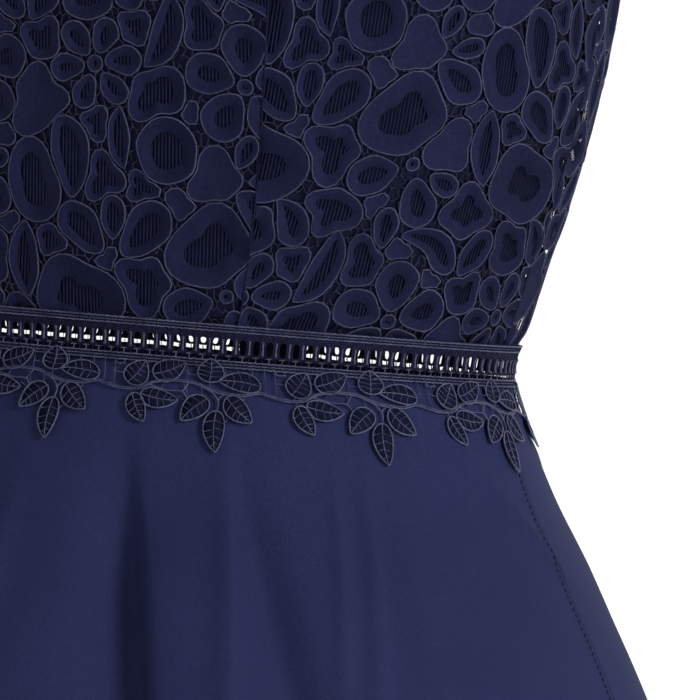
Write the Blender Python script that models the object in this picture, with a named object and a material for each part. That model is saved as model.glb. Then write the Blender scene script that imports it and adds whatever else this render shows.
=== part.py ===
"""A sleeveless cocktail dress: corded lace bodice, openwork waist trim and a flared skirt.

Blender 4.5 script, in metres, +Z up. The wearer faces -Y and their left is +X. The dress keeps the
hollow form that it has when worn. Its origin is midway between the tops of the two shoulder seams.

A point of the cloth is given by an angle and a level. The angle runs round the figure in degrees:
0 at the centre front, 90 at the left side seam, 180 at the centre back. The level is the height,
before the shoulders slope down.
"""

import math
from collections import namedtuple

import bmesh
import bpy
from mathutils import Matrix, Vector

# Levels of the cut's main lines.
WAIST = -0.395
UNDERARM = -0.168
FRONT_NECK = -0.105
BACK_NECK = -0.065
HEM = -0.975
ZIP_END = -0.550

# Cloth thicknesses and clearances.
LACE = 0.0012
LINING = 0.0010
SKIRT = 0.0012
TRIM = 0.0012
TAPE = 0.0008
GAP = 0.0003
BAND_CLEARANCE = 0.0005
EDGING_CLEARANCE = 0.0010

# The waist trim, measured from the middle of its ladder, which lies on the waist.
LADDER_HALF = 0.0042
BRAID_WIDTH = 0.0026
REPEATS = 12

# Strap edges and seams, as angles.
STRAP_INNER = 26.0
STRAP_OUTER = 48.0
PRINCESS_WAIST = 32.5
PRINCESS_TOP = 30.5
PRINCESS_LEANS_FROM = -0.290
PRINCESS_LEANS_OVER = 0.100
SCOOP_POWER = 2.2
SIDE_SEAM = 90.0
CENTRE_BACK = 180.0

# The shoulders: how deep the rounded top of the shoulder is, how steeply it falls to the arm.
SHOULDER_ARCH = 0.050
SHOULDER_SLOPE = math.tan(math.radians(20))
SHOULDER_STARTS = 0.066
SHOULDER_FADES = -0.160

# The bust cups that the front's princess seams shape.
CUP_ANGLE = 32.0
CUP_LEVEL = -0.215
CUP_RISE = 0.020
CUP_ROUND = 22.0
CUP_TALL = 0.050

Section = namedtuple("Section", "level half_width front back")
FIGURE = (
    Section(0.000, 0.1500, 0.0580, 0.0620),
    Section(-0.050, 0.1520, 0.0700, 0.0780),
    Section(-0.105, 0.1530, 0.0870, 0.0920),
    Section(-0.168, 0.1530, 0.1050, 0.1010),
    Section(-0.220, 0.1520, 0.1130, 0.1030),
    Section(-0.260, 0.1485, 0.1100, 0.0990),
    Section(-0.295, 0.1450, 0.1040, 0.0950),
    Section(-0.320, 0.1410, 0.1000, 0.0920),
    Section(-0.345, 0.1352, 0.0965, 0.0890),
    Section(-0.361, 0.1303, 0.0942, 0.0870),
    Section(-0.377, 0.1262, 0.0928, 0.0858),
    Section(-0.384, 0.1240, 0.0918, 0.0850),
    Section(-0.390, 0.1207, 0.0900, 0.0834),
    Section(-0.400, 0.1200, 0.0892, 0.0830),
    Section(-0.411, 0.1240, 0.0920, 0.0880),
    Section(-0.425, 0.1302, 0.0975, 0.1000),
    Section(-0.440, 0.1372, 0.1030, 0.1130),
    Section(-0.461, 0.1495, 0.1125, 0.1305),
    Section(-0.495, 0.1685, 0.1300, 0.1520),
    Section(-0.545, 0.1930, 0.1520, 0.1735),
    Section(-0.615, 0.2200, 0.1790, 0.1970),
    Section(-0.745, 0.2640, 0.2220, 0.2370),
    Section(-0.855, 0.2980, 0.2560, 0.2700),
    Section(-0.975, 0.3350, 0.2920, 0.3060),
)

# Soft folds of the skirt: where each lies at the waist and the hem, how wide it is, how far it
# stands out 0.1 m below the waist and at the hem, and how far below the waist it starts.
Fold = namedtuple("Fold", "at_waist at_hem width rise_hip rise_hem starts")
FOLDS = (
    Fold(4, 6, 9, 0.0022, 0.022, 0.035),
    Fold(17, 27, 6.5, -0.0048, -0.020, 0.030),
    Fold(30.5, 38, 6, 0.0026, 0.020, 0.025),
    Fold(33, 50, 7, -0.0030, -0.017, 0.045),
    Fold(62, 64, 13, 0.0012, 0.022, 0.060),
    Fold(79, 81, 9, -0.0008, -0.021, 0.080),
    Fold(97, 98, 10, 0.0010, 0.023, 0.070),
    Fold(113, 115, 9, -0.0020, -0.020, 0.050),
    Fold(130, 131, 10, 0.0024, 0.022, 0.040),
    Fold(147, 146, 8, -0.0034, -0.021, 0.035),
    Fold(163, 164, 8, 0.0026, 0.020, 0.040),
    Fold(-12, -12, 8, -0.0030, -0.019, 0.035),
    Fold(-27, -29, 10, 0.0024, 0.021, 0.040),
    Fold(-44, -47, 8, -0.0032, -0.020, 0.035),
    Fold(-61, -65, 11, 0.0018, 0.023, 0.050),
    Fold(-80, -83, 8, -0.0012, -0.020, 0.070),
    Fold(-98, -100, 10, 0.0014, 0.022, 0.070),
    Fold(-115, -118, 9, -0.0024, -0.021, 0.045),
    Fold(-132, -135, 9, 0.0026, 0.021, 0.040),
    Fold(-148, -150, 8, -0.0030, -0.020, 0.035),
    Fold(-164, -165, 8, 0.0024, 0.019, 0.040),
)
HIP = 0.100

# Levels of the rows of every bodice panel, from the waist to the shoulder seams, and of the skirt.
BODICE_ROWS = (-0.390, -0.383, -0.370, -0.340, -0.305, -0.270, -0.240, -0.212, -0.188, UNDERARM,
               -0.163, -0.148, -0.125, FRONT_NECK, -0.100, -0.085, BACK_NECK, -0.060, -0.044,
               -0.027, -0.013, -0.004, 0.0)
SKIRT_ROWS = (-0.400, -0.407, -0.417, -0.430, -0.445, -0.463, -0.490,
              -0.530, -0.590, -0.665, -0.750, -0.860, HEM)

# How many columns of cells each panel has.
CENTRE_CELLS = 3
SIDE_CELLS = 4
BACK_CELLS = 6
SKIRT_CELL_DEGREES = 7.5
RING_CELLS = 48

# One repeat of the leaf edging's lower outline: share of the repeat, drop below the waist.
Scallop = namedtuple("Scallop", "share drop")
SCALLOPS = (
    Scallop(0.00, 0.0370), Scallop(0.07, 0.0300), Scallop(0.14, 0.0262), Scallop(0.30, 0.0178),
    Scallop(0.41, 0.0240), Scallop(0.49, 0.0300), Scallop(0.57, 0.0235), Scallop(0.67, 0.0235),
    Scallop(0.76, 0.0205), Scallop(0.87, 0.0270), Scallop(0.94, 0.0300),
)
EDGING_ROWS = (0, 0.5, 1)

# The zip: chain, slider and pull tab, closed to the top of the back.
TAPE_CLEARANCE = 0.0009
TAPE_TOP = BACK_NECK - 0.001
TAPE_INNER = 0.0015
TAPE_OUTER = 0.0125
CHAIN_HALF = 0.0014
CHAIN_THICK = 0.0014
SLOT_HALF = GAP / 2
SLIDER_SLOT_HALF = 0.0012
SLOT_OPENS = -0.085
SLIDER_LEVEL = BACK_NECK - 0.0065
SLIDER_HALF_LENGTH = 0.0045
SLIDER_HALF_WIDTH = 0.0032
SLIDER_THICK = 0.0022
NECK_HALF_WIDTH = 0.0006
NECK_HALF_LENGTH = 0.0030
NECK_ROOT = 0.0005
FOOT_HALF_WIDTH = 0.0024
FOOT_HALF_LENGTH = 0.0016
FOOT_THICK = 0.0006
FOOT_STANDS = 0.0009
JOINED = 0.0003
LUG_INNER = 0.0016
LUG_OUTER = 0.00235
LUG_HALF_LENGTH = 0.0009
LUG_TOP = 0.0009
PIN_HEIGHT = 0.0030
PIN_RADIUS = 0.0005
PIN_HALF_LENGTH = 0.0020
PIN_SIDES = 16
EYE_BORE = 0.0009
EYE_RADIUS = 0.0017
EYE_HALF_LENGTH = 0.0012
BORE_HALF_LENGTH = 0.0040
TAB_HALF_THICK = 0.0005

# The pull tab's outline: half its width at distances below the pin.
TAB_SHOULDERS = ((0.0012, 0.0010), (0.0012, 0.0050), (0.0024, 0.0090), (0.0028, 0.0170),
                 (0.0018, 0.0207))
TAB_TIP = 0.0215

COLOURS = {
    "lace": (0.0125, 0.0145, 0.046, 1),
    "lining": (0.018, 0.022, 0.075, 1),
    "trim": (0.012, 0.014, 0.050, 1),
    "crepe": (0.0225, 0.0275, 0.083, 1),
    "tape": (0.010, 0.012, 0.038, 1),
    "metal": (0.020, 0.024, 0.060, 1),
}


def clear_scene():
    for item in list(bpy.data.objects):
        bpy.data.objects.remove(item, do_unlink=True)


def make_materials():
    made = {}
    for name, colour in COLOURS.items():
        material = bpy.data.materials.new(name)
        material.use_nodes = True
        shader = material.node_tree.nodes["Principled BSDF"]
        shader.inputs["Base Color"].default_value = colour
        shader.inputs["Roughness"].default_value = 0.35 if name == "metal" else 0.8
        shader.inputs["Metallic"].default_value = 0.8 if name == "metal" else 0.0
        made[name] = material
    return made


def soft_step(share):
    share = min(1.0, max(0.0, share))
    return share * share * (3 - 2 * share)


def slope_at(rows, index, column):
    """The slope of one column of the figure's table at a row, from its neighbours."""
    before, after = rows[max(index - 1, 0)], rows[min(index + 1, len(rows) - 1)]
    return (getattr(after, column) - getattr(before, column)) / (after.level - before.level)


def figure_size(level, column):
    """A size of the figure at any level, on a smooth curve through the table's rows."""
    level = min(FIGURE[0].level, max(FIGURE[-1].level, level))
    index = 0
    while index < len(FIGURE) - 2 and level < FIGURE[index + 1].level:
        index += 1
    top, bottom = FIGURE[index], FIGURE[index + 1]
    span = bottom.level - top.level
    t = (level - top.level) / span
    start, end = getattr(top, column), getattr(bottom, column)
    leave, arrive = slope_at(FIGURE, index, column) * span, slope_at(FIGURE, index + 1, column) * span
    return ((1 + 2 * t) * (1 - t) ** 2 * start + t * (1 - t) ** 2 * leave
            + t * t * (3 - 2 * t) * end + t * t * (t - 1) * arrive)


def cup_rise(angle, level):
    """How far the bust cups stand out."""
    rise = 0.0
    for side in (-1, 1):
        across = (angle - side * CUP_ANGLE) / CUP_ROUND
        up = (level - CUP_LEVEL) / CUP_TALL
        rise += CUP_RISE * math.exp(-across * across - up * up)
    return rise


def fold_rise(angle, level):
    """How far the skirt's folds stand out, or in."""
    drop = WAIST - level
    rise = 0.0
    for fold in FOLDS:
        if drop <= fold.starts:
            continue
        down = drop / (WAIST - HEM)
        middle = fold.at_waist + (fold.at_hem - fold.at_waist) * down
        across = ((angle - middle + 180) % 360 - 180) / fold.width
        if drop < HIP:
            height = fold.rise_hip * soft_step((drop - fold.starts) / (HIP - fold.starts))
        else:
            height = fold.rise_hip + (fold.rise_hem - fold.rise_hip) * (drop - HIP) / (WAIST - HEM - HIP)
        rise += height * math.exp(-across * across)
    return rise


def skin_point(angle, level, facing, gap):
    """A point of the worn form. facing is 1 on the front and -1 on the back."""
    turn = math.radians(angle)
    half = figure_size(level, "half_width")
    depth = figure_size(level, "front" if facing > 0 else "back")
    rounded = 1 - min(max(-level, 0.0), SHOULDER_ARCH) / SHOULDER_ARCH
    arch = math.sqrt(max(0.0, 1 - rounded * rounded))
    out = cup_rise(angle, level) * arch if level > WAIST else fold_rise(angle, level)
    x = half * math.sin(turn) + out * math.sin(turn)
    y = -facing * gap / 2 - (depth * arch + out) * math.cos(turn)
    fall = SHOULDER_SLOPE * max(0.0, abs(x) - SHOULDER_STARTS)
    z = level - fall * soft_step((level - SHOULDER_FADES) / -SHOULDER_FADES)
    return Vector((x, y, z))


def skin_frame(angle, level, facing, gap=GAP):
    """A point of the worn form and the direction that points away from the wearer."""
    turn, rise = 0.1, 0.00005
    around = skin_point(angle + turn, level, facing, gap) - skin_point(angle - turn, level, facing, gap)
    upward = (skin_point(angle, min(level + rise, 0.0), facing, gap)
              - skin_point(angle, level - rise, facing, gap))
    return skin_point(angle, level, facing, gap), around.cross(upward).normalized()


def wall_points(angle, level, facing, lift, thickness, gap=GAP):
    """The outer and inner points of a cloth wall whose outer face is lifted off the worn form."""
    point, out = skin_frame(angle, level, facing, gap)
    return point + out * lift, point + out * (lift - thickness)


def make_wall(name, grids, material):
    """One closed wall from grids of (outer, inner) points. Points that grids share are merged.

    Both faces are split into triangles along the same diagonals, so that walls laid on one
    another keep their clearance.
    """
    mesh = bmesh.new()
    known = {}

    def corner(pair):
        key = tuple(round(number, 6) for number in pair[0])
        if key not in known:
            known[key] = tuple(mesh.verts.new(point) for point in pair)
        return known[key]

    triangles = []
    for grid in grids:
        columns = [[corner(pair) for pair in column] for column in grid]
        for left, right in zip(columns, columns[1:]):
            for i in range(len(left) - 1):
                triangles.append((left[i], right[i], right[i + 1]))
                triangles.append((left[i], right[i + 1], left[i + 1]))
    edges = {}
    for a, b, c in triangles:
        mesh.faces.new((a[0], b[0], c[0]))
        mesh.faces.new((a[1], c[1], b[1]))
        edges.update(dict.fromkeys(((a, b), (b, c), (c, a))))
    for a, b in edges:
        if (b, a) not in edges:
            mesh.faces.new((b[0], a[0], a[1], b[1]))
    bmesh.ops.recalc_face_normals(mesh, faces=mesh.faces)
    data = bpy.data.meshes.new(name)
    mesh.to_mesh(data)
    mesh.free()
    data.shade_smooth()
    data.materials.append(material)
    made = bpy.data.objects.new(name, data)
    bpy.context.scene.collection.objects.link(made)
    return made


def princess_angle(level):
    """The princess seam's angle: a little nearer the centre above the waist."""
    return PRINCESS_TOP + (PRINCESS_WAIST - PRINCESS_TOP) * soft_step(
        (PRINCESS_LEANS_FROM - level) / PRINCESS_LEANS_OVER)


def scoop(level, depth):
    """How far a scooped edge has opened at a level: 0 at its lowest point, 1 at the shoulder."""
    if level <= depth:
        return 0.0
    return (1 - (level / depth) ** SCOOP_POWER) ** (1 / SCOOP_POWER)


def arm_edge(level):
    """The angle of a front panel's side edge: the side seam, then the armhole."""
    return SIDE_SEAM + (STRAP_OUTER - SIDE_SEAM) * scoop(level, UNDERARM)


def gap_degrees(level, gap):
    return math.degrees(gap / 2 / figure_size(level, "half_width"))


def panel_grid(rows, cells, first_edge, last_edge, facing, lift, thickness):
    """A grid of wall points between two edges, each an angle for every level."""
    grid = []
    for step in range(cells + 1):
        share = step / cells
        column = []
        for level in rows:
            angle = first_edge(level) + (last_edge(level) - first_edge(level)) * share
            column.append(wall_points(angle, level, facing, lift, thickness))
        grid.append(column)
    return grid


def centre_front(name, lift, thickness, material):
    """The centre front: two halves that share their middle column up to the neckline."""
    def seam(level):
        return princess_angle(level) - gap_degrees(level, GAP)

    def neck(level):
        return STRAP_INNER * scoop(level, FRONT_NECK)

    def mirrored(edge):
        return lambda level: -edge(level)

    make_wall(name, (
        panel_grid(BODICE_ROWS, CENTRE_CELLS, mirrored(seam), mirrored(neck), 1, lift, thickness),
        panel_grid(BODICE_ROWS, CENTRE_CELLS, neck, seam, 1, lift, thickness)), material)


def side_front(name, side, lift, thickness, material):
    def seam(level):
        return side * (princess_angle(level) + gap_degrees(level, GAP))

    def arm(level):
        return side * arm_edge(level)

    edges = (seam, arm) if side > 0 else (arm, seam)
    make_wall(name, (panel_grid(BODICE_ROWS, SIDE_CELLS, *edges, 1, lift, thickness),), material)


def lace_back(name, side, material):
    def centre(level):
        slot = SLIDER_SLOT_HALF if level >= SLOT_OPENS else SLOT_HALF
        closed = CENTRE_BACK - gap_degrees(level, 2 * slot)
        return side * (closed + (CENTRE_BACK - STRAP_INNER - closed) * scoop(level, BACK_NECK))

    def arm(level):
        return side * (CENTRE_BACK - arm_edge(level))

    edges = (arm, centre) if side > 0 else (centre, arm)
    make_wall(name, (panel_grid(BODICE_ROWS, BACK_CELLS, *edges, -1, 0.0, LACE),), material)


def skirt_panel(name, first, last, facing, material):
    """A skirt panel from one seam's angle to another's, open in a slot at the centre back."""
    def edge(angle):
        def at_level(level):
            slot = gap_degrees(level, 2 * SLOT_HALF) if abs(angle) == CENTRE_BACK else 0.0
            return angle - math.copysign(slot, angle)
        return at_level

    cells = round((last - first) / SKIRT_CELL_DEGREES)
    rows = tuple(reversed(SKIRT_ROWS))
    make_wall(name, (panel_grid(rows, cells, edge(first), edge(last), facing, 0.0, SKIRT),), material)


def trim_points(angle, level, clearance):
    """A trim point, on whichever of front and back its angle is, clear of the cloth under it."""
    facing = 1 if abs(angle) <= SIDE_SEAM else -1
    return wall_points(angle, level, facing, clearance + TRIM, TRIM, gap=0.0)


def trim_ring(name, bottom, top, material):
    """A straight length of the waist trim, from one side of the centre back round to the other."""
    end = CENTRE_BACK - gap_degrees(WAIST, 4 * GAP)
    columns = []
    for step in range(RING_CELLS + 1):
        angle = -end + 2 * end * step / RING_CELLS
        columns.append([trim_points(angle, WAIST + edge, BAND_CLEARANCE) for edge in (bottom, top)])
    make_wall(name, (columns,), material)


def leaf_edging(name, top, material):
    """The leaf lace under the lower braid: a wall with one scalloped outline for each repeat."""
    end = CENTRE_BACK - gap_degrees(WAIST, 4 * GAP)
    turn = 2 * end / REPEATS
    outline = [(repeat + scallop.share, scallop.drop)
               for repeat in range(REPEATS) for scallop in SCALLOPS]
    outline.append((REPEATS, SCALLOPS[0].drop))
    columns = []
    for place, drop in outline:
        columns.append([trim_points(-end + turn * place, WAIST - drop + (drop - top) * share,
                                    EDGING_CLEARANCE) for share in EDGING_ROWS])
    make_wall(name, (columns,), material)


def back_pair(level, across, lift, thickness):
    """Points on the flat cell beside the centre back, at a distance from the centre."""
    centre = CENTRE_BACK - gap_degrees(level, 2 * SLOT_HALF)
    cell = SKIRT_CELL_DEGREES
    if level > WAIST:
        cell = (CENTRE_BACK - SIDE_SEAM) / BACK_CELLS
    side = -1 if across < 0 else 1
    near = wall_points(side * centre, level, -1, lift, thickness)
    far = wall_points(side * (centre - cell), level, -1, lift, thickness)
    share = (abs(across) - near[0].x * side) / (far[0].x * side - near[0].x * side)
    return tuple(start.lerp(end, share) for start, end in zip(near, far))


def zip_strip(name, edges, depth, thickness, top, material):
    """A strip inside the centre back, between distances from it."""
    rows = [level for level in tuple(reversed(SKIRT_ROWS)) + BODICE_ROWS if ZIP_END < level < top]
    columns = []
    for across in edges:
        columns.append([back_pair(level, across, -depth, thickness)
                        for level in [ZIP_END] + rows + [top]])
    make_wall(name, (columns,), material)


def local_block(size_from, size_to):
    """A mesh block between two corners."""
    mesh = bmesh.new()
    bmesh.ops.create_cube(mesh, size=1)
    low, high = Vector(size_from), Vector(size_to)
    bmesh.ops.scale(mesh, vec=high - low, verts=mesh.verts)
    bmesh.ops.translate(mesh, vec=(low + high) / 2, verts=mesh.verts)
    return mesh


def local_pin(radius, half_length):
    """A short rod along X through the pin's centre."""
    mesh = bmesh.new()
    bmesh.ops.create_cone(mesh, cap_ends=True, segments=PIN_SIDES, radius1=radius, radius2=radius,
                          depth=2 * half_length, matrix=Matrix.Rotation(math.pi / 2, 4, "Y"))
    return mesh


def add_object(name, mesh, material, placing, hidden=False):
    data = bpy.data.meshes.new(name)
    mesh.to_mesh(data)
    mesh.free()
    data.materials.append(material)
    made = bpy.data.objects.new(name, data)
    bpy.context.scene.collection.objects.link(made)
    made.matrix_world = placing
    if hidden:
        made.hide_render = True
        made.display_type = "WIRE"
    return made


def join_solid(target, tool, operation):
    modifier = target.modifiers.new(operation.lower() + "_" + tool.name, "BOOLEAN")
    modifier.operation = operation
    modifier.object = tool


def zip_placing():
    """The pin's place and turn: X across, Y away from the back, Z up along it."""
    above = min(level for level in BODICE_ROWS if level > SLIDER_LEVEL)
    below = max(level for level in BODICE_ROWS if level < SLIDER_LEVEL)
    high = back_pair(above, SLIDER_SLOT_HALF, 0.0, LACE)[0]
    low = back_pair(below, SLIDER_SLOT_HALF, 0.0, LACE)[0]
    point = low.lerp(high, (SLIDER_LEVEL - below) / (above - below))
    across = Vector((1, 0, 0))
    up = Vector((0, high.y - low.y, high.z - low.z)).normalized()
    out = up.cross(across)
    turn = Matrix((across, out, up)).transposed().to_4x4()
    return Matrix.Translation(Vector((0, point.y, point.z)) + out * PIN_HEIGHT) @ turn


def zip_slider(material, placing):
    """The slider inside the back, its neck through the slot, and the two lugs that hold the pin."""
    inside = LACE + TAPE_CLEARANCE + TAPE + GAP
    body_face = -PIN_HEIGHT - inside
    foot_face = -PIN_HEIGHT + FOOT_STANDS
    slider = add_object("zip_slider", local_block(
        (-SLIDER_HALF_WIDTH, body_face - SLIDER_THICK, -SLIDER_HALF_LENGTH),
        (SLIDER_HALF_WIDTH, body_face, SLIDER_HALF_LENGTH)), material, placing)
    pieces = {
        "neck": local_block((-NECK_HALF_WIDTH, body_face - NECK_ROOT, -NECK_HALF_LENGTH),
                            (NECK_HALF_WIDTH, foot_face - JOINED, NECK_HALF_LENGTH)),
        "foot": local_block((-FOOT_HALF_WIDTH, foot_face - FOOT_THICK, -FOOT_HALF_LENGTH),
                            (FOOT_HALF_WIDTH, foot_face, FOOT_HALF_LENGTH)),
        "lug_left": local_block((LUG_INNER, foot_face - JOINED, -LUG_HALF_LENGTH),
                                (LUG_OUTER, LUG_TOP, LUG_HALF_LENGTH)),
        "lug_right": local_block((-LUG_OUTER, foot_face - JOINED, -LUG_HALF_LENGTH),
                                 (-LUG_INNER, LUG_TOP, LUG_HALF_LENGTH)),
        "pin": local_pin(PIN_RADIUS, PIN_HALF_LENGTH),
    }
    for name, mesh in pieces.items():
        join_solid(slider, add_object("slider_" + name, mesh, material, placing, hidden=True), "UNION")
    return slider


def zip_pull(material, placing):
    """The pull tab: an eye round the pin, a narrow shank and a flat drop-shaped end."""
    pull = add_object("zip_pull", local_pin(EYE_RADIUS, EYE_HALF_LENGTH), material, placing)
    side = [(half, -down) for half, down in TAB_SHOULDERS]
    ring = side + [(0.0, -TAB_TIP)] + [(-half, down) for half, down in reversed(side)]
    mesh = bmesh.new()
    face = mesh.faces.new([mesh.verts.new((x, -TAB_HALF_THICK, z)) for x, z in ring])
    pushed = bmesh.ops.extrude_face_region(mesh, geom=[face])
    moved = [item for item in pushed["geom"] if isinstance(item, bmesh.types.BMVert)]
    bmesh.ops.translate(mesh, vec=(0, 2 * TAB_HALF_THICK, 0), verts=moved)
    bmesh.ops.recalc_face_normals(mesh, faces=mesh.faces)
    join_solid(pull, add_object("pull_plate", mesh, material, placing, hidden=True), "UNION")
    join_solid(pull, add_object("pull_bore", local_pin(EYE_BORE, BORE_HALF_LENGTH), material, placing,
                                hidden=True), "DIFFERENCE")
    return pull


def main():
    clear_scene()
    materials = make_materials()
    lace, lining, trim = materials["lace"], materials["lining"], materials["trim"]
    sides = (("left", 1), ("right", -1))

    centre_front("lace_front_center", 0.0, LACE, lace)
    centre_front("lining_front_center", -LACE - GAP, LINING, lining)
    for word, side in sides:
        side_front("lace_side_front_" + word, side, 0.0, LACE, lace)
        side_front("lining_side_front_" + word, side, -LACE - GAP, LINING, lining)
        lace_back("lace_back_" + word, side, lace)

    ladder_to_braid = LADDER_HALF + GAP
    braid_end = ladder_to_braid + BRAID_WIDTH
    trim_ring("trim_ladder", -LADDER_HALF, LADDER_HALF, trim)
    trim_ring("trim_top_braid", ladder_to_braid, braid_end, trim)
    trim_ring("trim_bottom_braid", -braid_end, -ladder_to_braid, trim)
    leaf_edging("trim_leaf_edging", braid_end + GAP, trim)

    skirt_panel("skirt_front", -SIDE_SEAM, SIDE_SEAM, 1, materials["crepe"])
    skirt_panel("skirt_back_left", SIDE_SEAM, CENTRE_BACK, -1, materials["crepe"])
    skirt_panel("skirt_back_right", -CENTRE_BACK, -SIDE_SEAM, -1, materials["crepe"])

    tape_depth = LACE + TAPE_CLEARANCE
    for word, side in sides:
        zip_strip("zip_tape_" + word, (side * TAPE_INNER, side * TAPE_OUTER), tape_depth, TAPE,
                  TAPE_TOP, materials["tape"])
    zip_strip("zip_chain", (-CHAIN_HALF, 0.0, CHAIN_HALF), tape_depth + TAPE + GAP, CHAIN_THICK,
              SLIDER_LEVEL - SLIDER_HALF_LENGTH - GAP, materials["tape"])
    placing = zip_placing()
    zip_slider(materials["metal"], placing)
    zip_pull(materials["metal"], placing)


main()
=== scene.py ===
"""The looks of a sleeveless cocktail dress: corded lace bodice, openwork waist trim, crepe skirt.

Blender 4.5, metres, +Z up. The wearer faces -Y and their left is +X. Cloth is placed by an angle
round the figure, in degrees from the centre front, and a level, which is the height before the
shoulders slope down. Lace and trim are drawn flat, in millimetres, and then laid on that form.
"""

import math
import random
from collections import namedtuple

import bpy
import numpy as np
from mathutils import Matrix, Vector
from mathutils.kdtree import KDTree

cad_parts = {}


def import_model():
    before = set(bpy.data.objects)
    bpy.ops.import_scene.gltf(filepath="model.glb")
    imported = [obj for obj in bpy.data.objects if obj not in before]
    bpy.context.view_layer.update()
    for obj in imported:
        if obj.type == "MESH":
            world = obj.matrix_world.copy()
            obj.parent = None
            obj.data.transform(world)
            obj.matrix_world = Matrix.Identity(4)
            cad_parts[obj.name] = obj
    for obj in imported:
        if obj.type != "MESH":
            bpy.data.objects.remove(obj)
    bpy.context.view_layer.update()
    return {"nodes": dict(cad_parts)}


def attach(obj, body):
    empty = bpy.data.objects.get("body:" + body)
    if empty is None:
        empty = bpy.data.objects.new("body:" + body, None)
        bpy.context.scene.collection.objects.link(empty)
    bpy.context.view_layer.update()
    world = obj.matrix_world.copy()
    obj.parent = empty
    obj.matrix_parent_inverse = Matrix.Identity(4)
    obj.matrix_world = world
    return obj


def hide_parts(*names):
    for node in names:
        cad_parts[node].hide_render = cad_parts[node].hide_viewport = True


MM = 0.001

# The worn form, as the solids have it.
WAIST = -0.395
UNDERARM = -0.168
FRONT_NECK = -0.105
BACK_NECK = -0.065
HEM = -0.975
HIP = 0.100
STRAP_INNER = 26.0
STRAP_OUTER = 48.0
SCOOP_POWER = 2.2
PRINCESS_WAIST = 32.5
PRINCESS_TOP = 30.5
SIDE_SEAM = 90.0
CENTRE_BACK = 180.0
SHOULDER_ARCH = 0.050
SHOULDER_SLOPE = math.tan(math.radians(20))
SHOULDER_STARTS = 0.066
SHOULDER_FADES = -0.160
PRINCESS_BENDS = -0.290
PRINCESS_BEND_TALL = 0.100
CUP_ANGLE = 32.0
CUP_LEVEL = -0.215
CUP_RISE = 0.020
CUP_ROUND = 22.0
CUP_TALL = 0.050
SEAM_GAP = 0.00002
SLIDER_GAP = 0.0024
SLIDER_BELOW = 0.085

Section = namedtuple("Section", "level half_width front back")
FIGURE = (
    Section(0.000, 0.1500, 0.0580, 0.0620),
    Section(-0.050, 0.1520, 0.0700, 0.0780),
    Section(-0.105, 0.1530, 0.0870, 0.0920),
    Section(-0.168, 0.1530, 0.1050, 0.1010),
    Section(-0.220, 0.1520, 0.1130, 0.1030),
    Section(-0.260, 0.1485, 0.1100, 0.0990),
    Section(-0.295, 0.1450, 0.1040, 0.0950),
    Section(-0.320, 0.1410, 0.1000, 0.0920),
    Section(-0.345, 0.1352, 0.0965, 0.0890),
    Section(-0.361, 0.1303, 0.0942, 0.0870),
    Section(-0.377, 0.1262, 0.0928, 0.0858),
    Section(-0.384, 0.1240, 0.0918, 0.0850),
    Section(-0.390, 0.1207, 0.0900, 0.0834),
    Section(-0.400, 0.1200, 0.0892, 0.0830),
    Section(-0.411, 0.1240, 0.0920, 0.0880),
    Section(-0.425, 0.1302, 0.0975, 0.1000),
    Section(-0.440, 0.1372, 0.1030, 0.1130),
    Section(-0.461, 0.1495, 0.1125, 0.1305),
    Section(-0.495, 0.1685, 0.1300, 0.1520),
    Section(-0.545, 0.1930, 0.1520, 0.1735),
    Section(-0.615, 0.2200, 0.1790, 0.1970),
    Section(-0.745, 0.2640, 0.2220, 0.2370),
    Section(-0.855, 0.2980, 0.2560, 0.2700),
    Section(-0.975, 0.3350, 0.2920, 0.3060),
)

# The skirt's soft folds: angle at the waist and at the hem, width in degrees, how far each stands
# out 0.1 m below the waist and at the hem, and how far below the waist it starts.
Fold = namedtuple("Fold", "at_waist at_hem width rise_hip rise_hem starts")
FOLDS = (
    Fold(4, 6, 9, 0.0022, 0.022, 0.035),
    Fold(17, 27, 6.5, -0.0048, -0.020, 0.030),
    Fold(30.5, 38, 6, 0.0026, 0.020, 0.025),
    Fold(33, 50, 7, -0.0030, -0.017, 0.045),
    Fold(62, 64, 13, 0.0012, 0.022, 0.060),
    Fold(79, 81, 9, -0.0008, -0.021, 0.080),
    Fold(97, 98, 10, 0.0010, 0.023, 0.070),
    Fold(113, 115, 9, -0.0020, -0.020, 0.050),
    Fold(130, 131, 10, 0.0024, 0.022, 0.040),
    Fold(147, 146, 8, -0.0034, -0.021, 0.035),
    Fold(163, 164, 8, 0.0026, 0.020, 0.040),
    Fold(-12, -12, 8, -0.0030, -0.019, 0.035),
    Fold(-27, -29, 10, 0.0024, 0.021, 0.040),
    Fold(-44, -47, 8, -0.0032, -0.020, 0.035),
    Fold(-61, -65, 11, 0.0018, 0.023, 0.050),
    Fold(-80, -83, 8, -0.0012, -0.020, 0.070),
    Fold(-98, -100, 10, 0.0014, 0.022, 0.070),
    Fold(-115, -118, 9, -0.0024, -0.021, 0.045),
    Fold(-132, -135, 9, 0.0026, 0.021, 0.040),
    Fold(-148, -150, 8, -0.0030, -0.020, 0.035),
    Fold(-164, -165, 8, 0.0024, 0.019, 0.040),
)

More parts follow.
